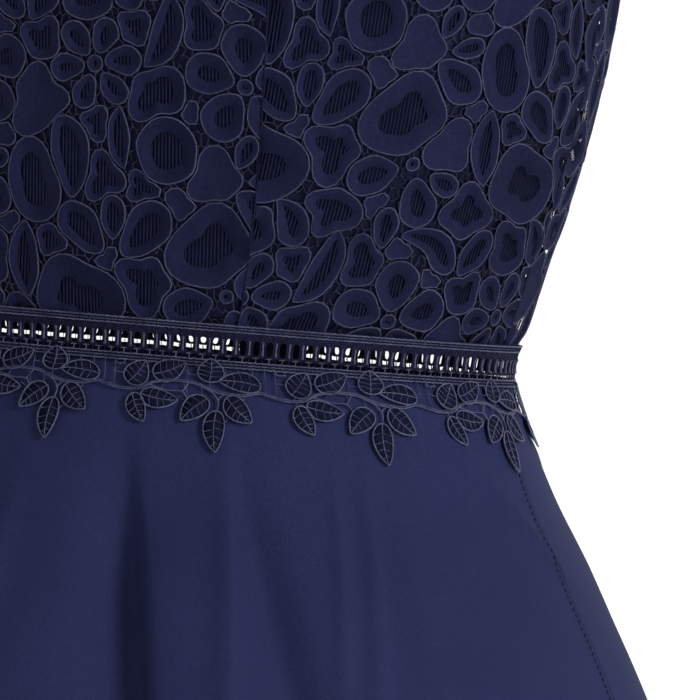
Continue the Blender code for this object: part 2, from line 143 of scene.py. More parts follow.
# Small creases on the skirt: where each starts and ends below the waist, its angle there and at
# the knee in between, its width to either side in degrees, and how far it stands out or in.
Crease = namedtuple("Crease", "starts ends first knee last left right rise")
KNEE = 0.110
CREASE_GROWS = 0.065
CREASE_FADES = 0.35
CREASES = (
    Crease(0.020, 0.56, 15.9, 21.4, 30.5, 4.4, 1.8, -0.0078),
    Crease(0.020, 0.56, 18.3, 23.9, 33.0, 1.4, 6.0, 0.0022),
    Crease(0.018, 0.45, 31.8, 32.2, 37, 2.2, 1.0, 0.0034),
    Crease(0.018, 0.40, 31.6, 39.2, 49, 2.0, 3.0, -0.0044),
    Crease(0.026, 0.12, 48.2, 44.8, 44, 1.2, 1.2, 0.0013),
    Crease(0.026, 0.13, 53.2, 49.0, 48, 1.3, 1.3, 0.0014),
    Crease(0.010, 0.055, 58.9, 96.4, 98, 1.5, 1.8, 0.0013),
    Crease(0.012, 0.075, 65.1, 115, 120, 1.5, 2.2, 0.0014),
    Crease(0.045, 0.14, 56.0, 57.0, 58, 3.0, 3.0, 0.0010),
    Crease(0.022, 0.50, 2.0, 3.0, 5, 3.0, 1.8, 0.0026),
    Crease(0.024, 0.52, -13.0, -15.5, -22, 3.2, 2.0, -0.0050),
    Crease(0.020, 0.42, -29.0, -30.5, -36, 1.6, 2.6, 0.0030),
    Crease(0.022, 0.38, -34.5, -38.0, -49, 3.6, 1.6, -0.0040),
    Crease(0.028, 0.14, -50.0, -47.0, -46, 1.3, 1.3, 0.0011),
    Crease(0.012, 0.10, -66.0, -84.0, -90, 2.0, 1.6, 0.0011),
    Crease(0.115, 0.50, 101.0, 102.0, 106, 2.4, 3.0, -0.0030),
    Crease(0.115, 0.48, 119.0, 121.0, 125, 2.0, 3.2, 0.0028),
    Crease(0.020, 0.54, 134.0, 135.5, 140, 3.2, 2.0, -0.0042),
    Crease(0.030, 0.50, 158.0, 158.5, 160, 2.0, 3.0, 0.0030),
    Crease(0.026, 0.50, -104.0, -105.0, -109, 3.0, 2.2, -0.0030),
    Crease(0.022, 0.45, -122.0, -124.0, -129, 3.0, 2.0, 0.0030),
    Crease(0.020, 0.55, -139.0, -141.0, -145, 2.0, 3.4, -0.0044),
    Crease(0.028, 0.50, -160.0, -161.0, -164, 3.0, 2.0, 0.0028),
)


# ---------------------------------------------------------------- the form


def figure_size(level, column):
    """A size of the figure at each level, on the smooth curve through the table's rows."""
    levels = np.array([row.level for row in FIGURE])
    sizes = np.array([getattr(row, column) for row in FIGURE])
    before = np.maximum(np.arange(len(levels)) - 1, 0)
    after = np.minimum(np.arange(len(levels)) + 1, len(levels) - 1)
    slopes = (sizes[after] - sizes[before]) / (levels[after] - levels[before])
    level = np.clip(level, levels[-1], levels[0])
    i = np.clip(np.searchsorted(-levels, -level, side="right") - 1, 0, len(levels) - 2)
    span = levels[i + 1] - levels[i]
    t = (level - levels[i]) / span
    return ((1 + 2 * t) * (1 - t) ** 2 * sizes[i] + t * (1 - t) ** 2 * slopes[i] * span
            + t * t * (3 - 2 * t) * sizes[i + 1] + t * t * (t - 1) * slopes[i + 1] * span)


def soft_step(share):
    share = np.clip(share, 0, 1)
    return share * share * (3 - 2 * share)


def cup_rise(angle, level):
    rise = 0.0
    for side in (-1, 1):
        across = (angle - side * CUP_ANGLE) / CUP_ROUND
        up = (level - CUP_LEVEL) / CUP_TALL
        rise = rise + CUP_RISE * np.exp(-across * across - up * up)
    return rise


def fold_rise(angle, level):
    drop = WAIST - level
    rise = np.zeros(np.broadcast(angle, level).shape)
    for fold in FOLDS:
        down = drop / (WAIST - HEM)
        middle = fold.at_waist + (fold.at_hem - fold.at_waist) * down
        across = ((angle - middle + 180) % 360 - 180) / fold.width
        near = fold.rise_hip * soft_step((drop - fold.starts) / (HIP - fold.starts))
        far = fold.rise_hip + (fold.rise_hem - fold.rise_hip) * (drop - HIP) / (WAIST - HEM - HIP)
        rise += np.where(drop < HIP, near, far) * np.exp(-across * across)
    return rise


def crease_rise(angle, level):
    drop = WAIST - level
    rise = np.zeros(np.broadcast(angle, level).shape)
    for crease in CREASES:
        long = crease.ends - crease.starts
        knee = max(KNEE, crease.starts + 0.01)
        middle = np.interp(drop, (crease.starts, knee, max(knee + 0.01, crease.ends)),
                           (crease.first, crease.knee, crease.last))
        off = (angle - middle + 180) % 360 - 180
        across = off / np.where(off < 0, crease.left, crease.right)
        grows = min(CREASE_GROWS, long / 3)
        shown = soft_step((drop - crease.starts) / grows)
        shown = shown * soft_step((crease.ends - drop) / (CREASE_FADES * long))
        rise += crease.rise * shown * np.exp(-across * across)
    return rise


def form_points(angle, level, facing):
    """Points of the worn form. facing is 1 on the front and -1 on the back."""
    angle, level = np.broadcast_arrays(np.asarray(angle, float), np.asarray(level, float))
    turn = np.radians(angle)
    half = figure_size(level, "half_width")
    depth = figure_size(level, "front" if facing > 0 else "back")
    rounded = 1 - np.clip(-level, 0, SHOULDER_ARCH) / SHOULDER_ARCH
    arch = np.sqrt(np.clip(1 - rounded * rounded, 0, 1))
    out = np.where(level > WAIST, cup_rise(angle, level) * arch, fold_rise(angle, level))
    x = (half + out) * np.sin(turn)
    y = -facing * SEAM_GAP / 2 - (depth * arch + out) * np.cos(turn)
    fall = SHOULDER_SLOPE * np.clip(np.abs(x) - SHOULDER_STARTS, 0, None)
    z = level - fall * soft_step((level - SHOULDER_FADES) / -SHOULDER_FADES)
    return np.stack((x, y, z), axis=-1)


def form_frame(angle, level, facing):
    """Points of the form with the directions that point away from the wearer."""
    turn, rise = 0.1, 0.00005
    around = form_points(angle + turn, level, facing) - form_points(angle - turn, level, facing)
    upward = (form_points(angle, np.minimum(level + rise, 0), facing)
              - form_points(angle, level - rise, facing))
    out = np.cross(around, upward)
    out /= np.linalg.norm(out, axis=-1, keepdims=True)
    return form_points(angle, level, facing), out


def princess_angle(level):
    return PRINCESS_TOP + (PRINCESS_WAIST - PRINCESS_TOP) * soft_step(
        (PRINCESS_BENDS - level) / PRINCESS_BEND_TALL)


def scoop(level, depth):
    """How far a scooped edge has opened at a level: 0 at its lowest point, 1 at the shoulder."""
    share = np.clip(level / depth, 0, 1)
    return (1 - share ** SCOOP_POWER) ** (1 / SCOOP_POWER)


def arm_edge(level):
    return SIDE_SEAM + (STRAP_OUTER - SIDE_SEAM) * scoop(level, UNDERARM)


def seam_shift(level, gap):
    return np.degrees(gap / 2 / figure_size(level, "half_width"))


# A bodice panel: its two edges, each an angle for every level, and the side of the body it is on.
Panel = namedtuple("Panel", "first last facing")


def bodice_panels():
    """The bodice's panels by name. The centre front is two halves, for its neckline."""
    def seam(level):
        return princess_angle(level) - seam_shift(level, SEAM_GAP)

    def side_seam(level):
        return princess_angle(level) + seam_shift(level, SEAM_GAP)

    def neck(level):
        return STRAP_INNER * scoop(level, FRONT_NECK)

    def back_edge(level):
        closed = CENTRE_BACK - seam_shift(level, SLIDER_GAP * soft_step((level + SLIDER_BELOW) / 0.02))
        return closed + (CENTRE_BACK - STRAP_INNER - closed) * scoop(level, BACK_NECK)

    def back_arm(level):
        return CENTRE_BACK - arm_edge(level)

    def mirrored(edge):
        return lambda level: -edge(level)

    return {
        "front_center": (Panel(mirrored(seam), mirrored(neck), 1), Panel(neck, seam, 1)),
        "side_front_left": (Panel(side_seam, arm_edge, 1),),
        "side_front_right": (Panel(mirrored(arm_edge), mirrored(side_seam), 1),),
        "back_left": (Panel(back_arm, back_edge, -1),),
        "back_right": (Panel(mirrored(back_edge), mirrored(back_arm), -1),),
    }


# ---------------------------------------------------------------- camera, stage, lights

VIEW_AROUND = math.radians(26)
VIEW_ABOVE = math.radians(0.9)
VIEW_ROLL = math.radians(4.61)
VIEW_DISTANCE = 2.5
FRAME_WIDTH = 0.2286
AIM_ACROSS = 0.0609
AIM_LEVEL = -0.3946
SENSOR = 36.0
FLOOR_LEVEL = -1.36
ROOM_LIGHT = 0.20
BACKDROP_LIGHT = 1.05
FLOOR_NEAR_LIGHT = 0.12
FLOOR_FAR_LIGHT = 0.60
FLOOR_FADE = (5, 13)
FLOOR_WIDE = 60
BACKDROP_FADE = (-0.1, 0.7)
HORIZON_FADE = (0.05, 0.25)
LIT_PLACE = (0, 0, -0.45)
WHITE = (1, 1, 1, 1)


def make_camera():
    data = bpy.data.cameras.new("camera")
    data.sensor_width = SENSOR
    data.lens = SENSOR * VIEW_DISTANCE / FRAME_WIDTH
    data.clip_end = 60
    back = Vector((math.sin(VIEW_AROUND) * math.cos(VIEW_ABOVE),
                   -math.cos(VIEW_AROUND) * math.cos(VIEW_ABOVE), math.sin(VIEW_ABOVE)))
    right = Vector((math.cos(VIEW_AROUND), math.sin(VIEW_AROUND), 0))
    aim = right * AIM_ACROSS + Vector((0, 0, AIM_LEVEL))
    turn = Matrix((right, back.cross(right), back)).transposed().to_4x4()
    camera = bpy.data.objects.new("camera", data)
    camera.matrix_world = (Matrix.Translation(aim + back * VIEW_DISTANCE) @ turn
                           @ Matrix.Rotation(VIEW_ROLL, 4, "Z"))
    bpy.context.scene.collection.objects.link(camera)
    bpy.context.scene.camera = camera


def make_light(name, place, size, power):
    data = bpy.data.lights.new(name, "AREA")
    data.shape = "DISK"
    data.size = size
    data.energy = power
    lamp = bpy.data.objects.new(name, data)
    lamp.location = place
    lamp.rotation_euler = (Vector(LIT_PLACE) - Vector(place)).to_track_quat("-Z", "Y").to_euler()
    bpy.context.scene.collection.objects.link(lamp)


def node(tree, kind, **settings):
    made = tree.nodes.new(kind)
    for key, value in settings.items():
        setattr(made, key, value)
    return made


def combine(tree, operation, *values):
    """A sum on up to three values, each a number or another node's output."""
    made = node(tree, "ShaderNodeMath", operation=operation)
    for socket, value in zip(made.inputs, values):
        if isinstance(value, bpy.types.NodeSocket):
            tree.links.new(value, socket)
        else:
            socket.default_value = value
    return made.outputs[0]


def fade(tree, value, source, result):
    """A value carried from one range to another."""
    made = node(tree, "ShaderNodeMapRange")
    for key, number in zip(("From Min", "From Max", "To Min", "To Max"), (*source, *result)):
        made.inputs[key].default_value = number
    tree.links.new(value, made.inputs["Value"])
    return made.outputs["Result"]


def make_studio():
    """A pale floor, a white backdrop that fades to a dimmer room, and two soft lamps."""
    bpy.context.scene.view_settings.view_transform = "Standard"
    world = bpy.data.worlds.new("studio")
    world.use_nodes = True
    tree = world.node_tree
    way = node(tree, "ShaderNodeTexCoord").outputs["Generated"]
    behind = node(tree, "ShaderNodeVectorMath", operation="DOT_PRODUCT")
    behind.inputs[1].default_value = (-math.sin(VIEW_AROUND), math.cos(VIEW_AROUND), 0)
    tree.links.new(way, behind.inputs[0])
    backdrop = fade(tree, behind.outputs["Value"], BACKDROP_FADE, (ROOM_LIGHT, BACKDROP_LIGHT))
    parts = node(tree, "ShaderNodeSeparateXYZ")
    tree.links.new(way, parts.inputs[0])
    horizon = fade(tree, parts.outputs["Z"], HORIZON_FADE, (BACKDROP_LIGHT, ROOM_LIGHT))
    sky = tree.nodes["Background"].inputs
    tree.links.new(combine(tree, "MAXIMUM", backdrop, horizon), sky["Strength"])
    sky["Color"].default_value = WHITE
    bpy.context.scene.world = world
    make_light("key", (2.4, -0.8, 0.5), 0.9, 46)
    make_light("fill", (-1.2, -2.4, 0.3), 1.4, 2)
    bpy.ops.mesh.primitive_plane_add(size=FLOOR_WIDE, location=(0, 0, FLOOR_LEVEL))
    floor = bpy.context.object
    floor.name = "floor"
    material = plain_material("studio_floor", (0.86, 0.86, 0.87), 0.8)
    tree = material.node_tree
    shader = tree.nodes["Principled BSDF"]
    shader.inputs["Emission Color"].default_value = WHITE
    away = node(tree, "ShaderNodeVectorMath", operation="LENGTH")
    tree.links.new(node(tree, "ShaderNodeTexCoord").outputs["Object"], away.inputs[0])
    glow = fade(tree, away.outputs["Value"], FLOOR_FADE, (FLOOR_NEAR_LIGHT, FLOOR_FAR_LIGHT))
    tree.links.new(glow, shader.inputs["Emission Strength"])
    floor.data.materials.append(material)


# ---------------------------------------------------------------- materials

COIL_PER_METRE = 760
GRAIN_SCALE = 900


def shade(red, green, blue):
    """A linear colour from one written in the usual 0 to 255."""
    return tuple(c / 255 / 12.92 if c <= 10 else ((c / 255 + 0.055) / 1.055) ** 2.4
                 for c in (red, green, blue)) + (1.0,)


def plain_material(name, colour, roughness):
    material = bpy.data.materials.new(name)
    material.use_nodes = True
    shader = material.node_tree.nodes["Principled BSDF"]
    shader.inputs["Base Color"].default_value = tuple(colour[:3]) + (1,)
    shader.inputs["Roughness"].default_value = roughness
    return material


def noise(tree, place, scale, detail):
    made = node(tree, "ShaderNodeTexNoise")
    made.inputs["Scale"].default_value = scale
    made.inputs["Detail"].default_value = detail
    tree.links.new(place, made.inputs["Vector"])
    return made.outputs["Fac"]


def cloth_material(name, dark, light, roughness, weave, bump, patch=9.0, specular=0.3, gleam=WHITE,
                   sheen=0.0, own_flat=True):
    """Woven cloth. dark and light are its colours, weave the two thread counts per metre in the
    piece's own flat coordinates, bump the depth of the weave, patch how fine its cloudiness is."""
    material = plain_material(name, shade(*dark), roughness)
    tree = material.node_tree
    shader = tree.nodes["Principled BSDF"]
    finish = {"Sheen Weight": sheen, "Sheen Roughness": 0.4, "Sheen Tint": shade(150, 160, 215),
              "Specular IOR Level": specular, "Specular Tint": gleam}
    for key, value in finish.items():
        shader.inputs[key].default_value = value
    place = node(tree, "ShaderNodeTexCoord").outputs["Object"]
    flat = node(tree, "ShaderNodeUVMap", uv_map="flat").outputs["UV"] if own_flat else place
    parts = node(tree, "ShaderNodeSeparateXYZ")
    tree.links.new(flat, parts.inputs[0])
    waves = [combine(tree, "SINE", combine(tree, "MULTIPLY", parts.outputs[axis], 2 * math.pi * count))
             for axis, count in zip(("X", "Y" if own_flat else "Z"), weave)]
    threads = combine(tree, "MULTIPLY", *waves)
    grain = noise(tree, place, GRAIN_SCALE, 2)
    mixed = combine(tree, "MULTIPLY_ADD", grain, 0.9, noise(tree, place, patch, 3))
    woven = combine(tree, "MULTIPLY_ADD", threads, 0.16, mixed)
    colour = node(tree, "ShaderNodeMix", data_type="RGBA")
    colour.inputs["A"].default_value = shade(*dark)
    colour.inputs["B"].default_value = shade(*light)
    tree.links.new(fade(tree, woven, (0.6, 1.3), (0, 1)), colour.inputs["Factor"])
    tree.links.new(colour.outputs["Result"], shader.inputs["Base Color"])
    bumped = node(tree, "ShaderNodeBump")
    bumped.inputs["Strength"].default_value = bump
    bumped.inputs["Distance"].default_value = 0.0001
    tree.links.new(combine(tree, "MULTIPLY_ADD", grain, 1.2, threads), bumped.inputs["Height"])
    tree.links.new(bumped.outputs["Normal"], shader.inputs["Normal"])
    return material


BLUE = shade(120, 130, 215)
# Each cloth: dark and light colour, roughness, threads per metre both ways, depth of the weave.
CLOTHS = {
    "lace_cloth": ((22, 24, 50), (35, 38, 68), 0.85, (1300, 1500), 0.6, dict(specular=0.06)),
    # The lace cords are lighter than the motifs partly as their own shinier thread and partly as a painted
    # highlight along their ridges.
    "lace_cord_and_highlight": ((40, 42, 68), (80, 82, 110), 0.6, (1500, 2500), 0.4, dict(patch=60, specular=0.15)),
    "lace_net": ((30, 31, 47), (62, 63, 82), 0.75, (2600, 2600), 0.4,
                 dict(patch=40, specular=0.06, gleam=BLUE)),
    "satin": ((2, 3, 12), (22, 23, 41), 0.34, (2400, 2400), 0.3,
              dict(patch=170, specular=0.28, gleam=BLUE)),
    "crepe": ((36, 40, 75), (45, 49, 87), 0.7, (1250, 1250), 0.6, dict(patch=14, specular=0.05)),
    # The trim's cords, ladder bars and leaf outlines are lighter partly as their own twisted thread and
    # partly as a painted highlight.
    "trim_cord_and_highlight": ((48, 50, 78), (94, 97, 128), 0.55, (1400, 2200), 0.6, dict(patch=240, specular=0.25)),
    "trim_cloth": ((17, 19, 42), (31, 33, 61), 0.7, (2200, 2200), 0.6, dict(patch=60, specular=0.12)),
    # The leaves' dark sheet: painted shade, darker than the skirt to stand for the shadow under the raised
    # leaves.
    "trim_leaf_shade": ((14, 16, 38), (24, 26, 56), 0.8, (1600, 1600), 0.8, dict(patch=60, specular=0.08)),
    "stitch": ((20, 22, 46), (26, 28, 54), 0.6, (2000, 2000), 0.2, dict(sheen=0.05)),
    "tape": ((20, 22, 44), (32, 34, 60), 0.8, (1200, 900), 0.8, dict(specular=0.1, own_flat=False)),
    "zip_coil": ((16, 18, 36), (46, 49, 78), 0.4, (90, COIL_PER_METRE), 0.9,
                 dict(specular=0.4, own_flat=False)),
    "zip_metal": ((50, 53, 78), (72, 76, 104), 0.34, (160, 160), 0.05, dict(patch=220, own_flat=False)),
}
METAL_SHARE = 0.75


def make_materials():
    made = {name: cloth_material(name, *row, **more) for name, (*row, more) in CLOTHS.items()}
    shader = made["zip_metal"].node_tree.nodes["Principled BSDF"]
    shader.inputs["Metallic"].default_value = METAL_SHARE
    return made


# ---------------------------------------------------------------- meshes


def write_flat(mesh, layer, flat):
    """Gives each corner of a mesh its point's flat place."""
    corners = np.empty(len(mesh.loops), dtype=np.int32)
    mesh.loops.foreach_get("vertex_index", corners)
    layer.data.foreach_set("uv", np.asarray(flat, dtype=np.float32)[corners].ravel())


def make_object(name, points, faces, materials, which=None, flat=None):
    """An object from points in metres, faces as rows of corners, and a material for each face."""
    mesh = bpy.data.meshes.new(name)
    mesh.from_pydata([tuple(p) for p in points], [], faces)
    for material in materials:
        mesh.materials.append(material)
    if which is not None:
        mesh.polygons.foreach_set("material_index", which)
    if flat is not None:
        write_flat(mesh, mesh.uv_layers.new(name="flat"), flat)
    mesh.shade_smooth()
    mesh.update()
    made = bpy.data.objects.new(name, mesh)
    bpy.context.scene.collection.objects.link(made)
    return made


def edit_whole(made, change, **settings):
    """Makes one change to all of an object's mesh."""
    bpy.ops.object.select_all(action="DESELECT")
    made.select_set(True)
    bpy.context.view_layer.objects.active = made
    bpy.ops.object.mode_set(mode="EDIT")
    bpy.ops.mesh.select_all(action="SELECT")
    change(**settings)
    bpy.ops.object.mode_set(mode="OBJECT")


FLAT_SHARE = 0.88
WELD = 0.00002


def cloth_sheet(name, panels, levels, cells, lift, thickness, material):
    """A thin shell over one or more panels: flat grids, shaped on the form, joined and thickened."""
    grids = []
    for panel in panels:
        bpy.ops.object.select_all(action="DESELECT")
        bpy.ops.mesh.primitive_grid_add(x_subdivisions=cells, y_subdivisions=len(levels) - 1, size=1)
        grid = bpy.context.object
        count = len(grid.data.vertices)
        flat = np.empty(count * 3)
        grid.data.vertices.foreach_get("co", flat)
        flat = flat.reshape(-1, 3) + 0.5
        level = np.interp(flat[:, 1], np.linspace(0, 1, len(levels)), levels)
        first, last = panel.first(level), panel.last(level)
        angle = first + (last - first) * flat[:, 0]
        place, out = form_frame(angle, level, panel.facing)
        rise = np.where(level < WAIST, crease_rise(angle, level), 0.0)[:, None]
        grid.data.vertices.foreach_set("co", (place + out * (lift + rise)).ravel())
        layer = grid.data.uv_layers.active
        layer.name = "flat"
        across = np.radians(angle) * figure_size(level, "half_width") * FLAT_SHARE
        write_flat(grid.data, layer, np.stack((across, level), axis=-1))
        grids.append(grid)
    bpy.ops.object.select_all(action="DESELECT")
    for grid in grids:
        grid.select_set(True)
    made = grids[0]
    bpy.context.view_layer.objects.active = made
    if len(grids) > 1:
        bpy.ops.object.join()
    edit_whole(made, bpy.ops.mesh.remove_doubles, threshold=WELD)
    made.name = name
    made.data.name = name
    solid = made.modifiers.new("cloth", "SOLIDIFY")
    solid.thickness = thickness
    solid.offset = -1
    bpy.ops.object.modifier_apply(modifier=solid.name)
    made.data.materials.clear()
    made.data.materials.append(material)
    made.data.shade_smooth()
    return made


# ---------------------------------------------------------------- flat patterns on the form


class Pattern:
    """Flat work in millimetres: points (across, up, height), triangles, and a finish for each."""

    def __init__(self):
        self.points = []
        self.faces = []
        self.finishes = []
        self.pieces = []
        self.count = 0

    def add(self, points, faces, finish, pieces=None):
        """Adds work with one finish, or one for each face. pieces numbers the closed pieces in it."""
        points, faces = np.asarray(points, float), np.asarray(faces, int)
        first = self.pieces[-1][-1] + 1 if self.pieces else 0
        self.points.append(points)
        self.faces.append(faces + self.count)
        self.finishes.append(np.broadcast_to(finish, len(faces)).copy())
        self.pieces.append((np.zeros(len(points), int) if pieces is None else pieces) + first)
        self.count += len(points)

    def arrays(self):
        return (np.concatenate(self.points), np.concatenate(self.faces),
                np.concatenate(self.finishes), np.concatenate(self.pieces))


def ring_faces(starts, steps, closed=True):
    """Triangles between neighbouring loops of the same length. starts are the loops' first points."""
    faces = []
    last = steps if closed else steps - 1
    for low, high in zip(starts, starts[1:]):
        for i in range(last):
            j = (i + 1) % steps
            faces.append((low + i, low + j, high + j))
            faces.append((low + i, high + j, high + i))
    return faces


def lid_faces(upper, lower, top, steps):
    """Triangles that close a ring of points with a point above (top) and one below it (top + 1)."""
    faces = []
    for i in range(steps):
        j = (i + 1) % steps
        faces.append((upper + i, upper + j, top))
        faces.append((lower + j, lower + i, top + 1))
    return faces


def add_cord(pattern, path, radius, base, finish, closed=False, sides=4, squash=1.0):
    """A cord lying along a flat path, its underside at the base height."""
    path = np.asarray(path, float)
    if closed:
        along = np.roll(path, -1, axis=0) - np.roll(path, 1, axis=0)
    else:
        along = np.gradient(path, axis=0)
    along /= np.linalg.norm(along, axis=1, keepdims=True) + 1e-9
    across = np.stack((along[:, 1], -along[:, 0]), axis=1)
    radius = np.broadcast_to(radius, len(path))[:, None]
    loops = []
    for side in range(sides):
        turn = 2 * math.pi * (side + 0.5) / sides
        high = base + (1 - math.cos(turn)) * radius * squash
        loops.append(np.column_stack((path + across * math.sin(turn) * radius, high)))
    steps = len(path)
    faces = []
    last = steps if closed else steps - 1
    for side in range(sides):
        low, high = side * steps, (side + 1) % sides * steps
        for i in range(last):
            j = (i + 1) % steps
            faces.append((low + i, high + j, low + j))
            faces.append((low + i, high + i, high + j))
    if not closed:
        for end, order in ((0, 1), (steps - 1, -1)):
            rim = [side * steps + end for side in range(sides)][::order]
            faces.extend((rim[0], rim[k], rim[k + 1]) for k in range(1, sides - 1))
    pattern.add(np.concatenate(loops), faces, finish)


# The cord finish is drawn in a lighter colour, partly the cords' own thread and partly a painted
# highlight.
CLOTH, HIGHLIT_CORD, NET = 0, 1, 2
# The finish of the dark sheet inside each leaf, which is painted shade.
LEAF_SHADE = 2

# A lace motif: where it is in the repeat, which way it points, its length and width, how far it
# bends, its shape and how much of it is slit. Millimetres and degrees.
Motif = namedtuple("Motif", "x y turn length width bend shape slit")

REPEAT_WIDE = 92.0
REPEAT_TALL = 118.0
CORD_HALF = 0.25
CORD_HIGH = 0.42
CLOTH_THICK = 0.2
SLIT_PITCH = 1.15


def motif_outline(motif, inset, steps):
    """A closed outline, pulled in by an inset: round a bent centre line, or from a list of reaches
    round the middle."""
    t = 2 * np.pi * np.arange(steps) / steps
    if not isinstance(motif.shape, str):
        turns = 2 * np.pi * np.arange(len(motif.shape)) / len(motif.shape)
        reach = np.maximum(np.interp(t, turns, motif.shape, period=2 * np.pi) - inset, 0.15)
        return np.stack((motif.x + reach * np.cos(t), motif.y + reach * np.sin(t)), axis=1)
    along, side = -np.cos(t), np.sin(t)
    half_long = motif.length / 2 - inset
    half_wide = motif.width / 2 - inset
    if motif.shape == "petal":
        wide = half_wide * (1 + 0.26 * along - 0.10 * along ** 2)
    elif motif.shape == "leaf":
        wide = half_wide * (1 - 0.35 * along ** 4)
        side = side * np.abs(side) ** 0.25
    elif motif.shape == "scroll":
        wide = half_wide * (1 - 0.45 * along)
    else:
        wide = half_wide * np.ones(steps)
    wave = 1 + 0.05 * np.sin(5 * t + motif.x) + 0.05 * np.sin(2 * t + motif.y) + 0.03 * np.sin(3 * t)
    x = half_long * along
    y = wide * side * wave
    if motif.bend:
        radius = motif.length / math.radians(motif.bend)
        turn = x / radius
        x, y = (radius - y) * np.sin(turn), radius - (radius - y) * np.cos(turn)
    turn = math.radians(motif.turn)
    return np.stack((motif.x + x * math.cos(turn) - y * math.sin(turn),
                     motif.y + x * math.sin(turn) + y * math.cos(turn)), axis=1)


def add_motif(pattern, motif, base):
    """One lace motif: cloth with a raised cord round it and upright slits in its middle."""
    steps = int(max(11, min(28, (motif.length + motif.width) * 0.8)))
    core = min(motif.width * (0.5 - 0.30 * motif.slit), motif.width / 2 - 0.35)
    rings = [(0.0, 0.0), (CORD_HALF, CORD_HIGH), (2 * CORD_HALF, CLOTH_THICK)]
    if motif.slit:
        rings += [(core, CLOTH_THICK), (core, 0.0)]
    loops = [np.column_stack((motif_outline(motif, inset, steps), np.full(steps, base + height)))
             for inset, height in rings]
    starts = [k * steps for k in range(len(rings))]
    faces = ring_faces(starts[:3], steps)
    cords = len(faces)
    if motif.slit:
        faces += ring_faces(starts[2:] + starts[:1], steps)
    else:
        middle = loops[0][:, :2].mean(axis=0)
        loops.append([(*middle, base + CLOTH_THICK), (*middle, base)])
        faces += lid_faces(starts[2], 0, len(rings) * steps, steps)
    finish = np.full(len(faces), CLOTH)
    finish[:cords] = HIGHLIT_CORD
    pattern.add(np.concatenate(loops), faces, finish)
    if motif.slit:
        add_slit_threads(pattern, loops[-1][:, :2], base)


def add_slit_threads(pattern, core, base):
    """Upright threads across a motif's open core, in step with each other all over the lace."""
    after = np.roll(core, -1, axis=0)
    first = math.ceil(core[:, 0].min() / SLIT_PITCH) * SLIT_PITCH
    for x in np.arange(first, core[:, 0].max(), SLIT_PITCH):
        crossed = (core[:, 0] > x) != (after[:, 0] > x)
        a, b = core[crossed], after[crossed]
        heights = np.sort(a[:, 1] + (b[:, 1] - a[:, 1]) * (x - a[:, 0]) / (b[:, 0] - a[:, 0]))
        for low, high in zip(heights[::2], heights[1::2]):
            if high - low > 0.8:
                add_cord(pattern, [(x, low - 0.06), (x, high + 0.06)], 0.40, base, CLOTH,
                         sides=3, squash=0.3)


def inside_outline(points, outline):
    """Which points, in an array of any shape, lie inside a closed outline."""
    inside = np.zeros(points.shape[:-1], bool)
    for a, b in zip(outline, np.roll(outline, -1, axis=0)):
        crosses = (a[1] > points[..., 1]) != (b[1] > points[..., 1])
        if crosses.any():
            height = (points[crosses, 1] - a[1]) / (b[1] - a[1])
            inside[crosses] ^= points[crosses, 0] < a[0] + height * (b[0] - a[0])
    return inside


class Repeat:
    """The lace's repeat, seen as a flat field that knows how far each place is from the motifs."""

    COLUMNS, ROWS = 120, 150

    def __init__(self):
        self.motifs = []
        x = (np.arange(self.COLUMNS) + 0.5) * REPEAT_WIDE / self.COLUMNS
        y = (np.arange(self.ROWS) + 0.5) * REPEAT_TALL / self.ROWS
        self.spots = np.stack(np.meshgrid(x, y, indexing="ij"), axis=-1)
        self.clear = np.full(self.spots.shape[:2], 50.0)

    def clearance(self, points):
        column = np.floor(points[..., 0] * self.COLUMNS / REPEAT_WIDE).astype(int) % self.COLUMNS
        row = np.floor(points[..., 1] * self.ROWS / REPEAT_TALL).astype(int) % self.ROWS
        return self.clear[column, row]

    def room(self, motif):
        return self.clearance(motif_outline(motif, 0.0, 24)).min()

    def place(self, motif):
        self.motifs.append(motif)
        size = np.array((REPEAT_WIDE, REPEAT_TALL))
        about = np.array((motif.x, motif.y))
        spots = (self.spots - about + size / 2) % size - size / 2 + about
        outline = motif_outline(motif, 0.0, 30)
        away = np.full(self.clear.shape, 50.0)
        for middle in (outline + np.roll(outline, -1, axis=0)) / 2:
            away = np.minimum(away, np.hypot(*np.moveaxis(spots - middle, -1, 0)))
        inside = inside_outline(spots, outline)
        self.clear = np.minimum(self.clear, np.where(inside, -away, away))

    def place_shrunk(self, motif):
        """Places a motif, made smaller until it clears its neighbours. One that never does is left out."""
        for _ in range(12):
            if self.room(motif) > MOTIF_GAP:
                self.place(motif)
                return
            motif = motif._replace(length=motif.length * 0.96, width=motif.width * 0.95)

    def fill(self, chance):
        """Fills the widest space that is left, again and again, with a shape that follows its
        neighbours."""
        turns = 2 * np.pi * np.arange(REACHES) / REACHES
        ways = np.stack((np.cos(turns), np.sin(turns)), axis=1)
        while self.clear.max() > SMALLEST_SPACE:
            column, row = np.unravel_index(self.clear.argmax(), self.clear.shape)
            middle = self.spots[column, row]
            inner = self.clear[column, row]
            longest = chance.uniform(1.8, 3.0)
            lean = math.radians(chance.gauss(85, 50))
            stretch = np.abs(np.cos(turns - lean)) ** 1.5
            cap = np.minimum(inner, 8.0) * (1.4 + (longest - 1.4) * stretch)
            reach = np.full(REACHES, 0.3)
            growing = np.ones(REACHES, bool)
            while growing.any():
                ahead = self.clearance(middle + ways * (reach + 0.3)[:, None])
                growing &= (ahead > MOTIF_GAP) & (reach < cap)
                reach[growing] += 0.15
            for _ in range(SMOOTHINGS):
                beside = (np.roll(reach, 1) + 2 * reach + np.roll(reach, -1)) / 4
                reach = np.minimum(reach, beside)
            waves = np.fft.rfft(reach)
            waves[WAVES_KEPT:] = 0
            reach = KEPT_REACH * np.fft.irfft(waves, REACHES)
            slit = chance.choice((0, 0.5, 0.65)) if inner > 3.4 else 0
            width = 2 * reach.min()
            self.place(Motif(*middle, 0, 2 * reach.max(), width, 0, tuple(reach), slit))


REACHES = 32
WAVES_KEPT = 6
SMOOTHINGS = 8
KEPT_REACH = 0.97
MOTIF_GAP = 0.25
SMALLEST_SPACE = 2.7

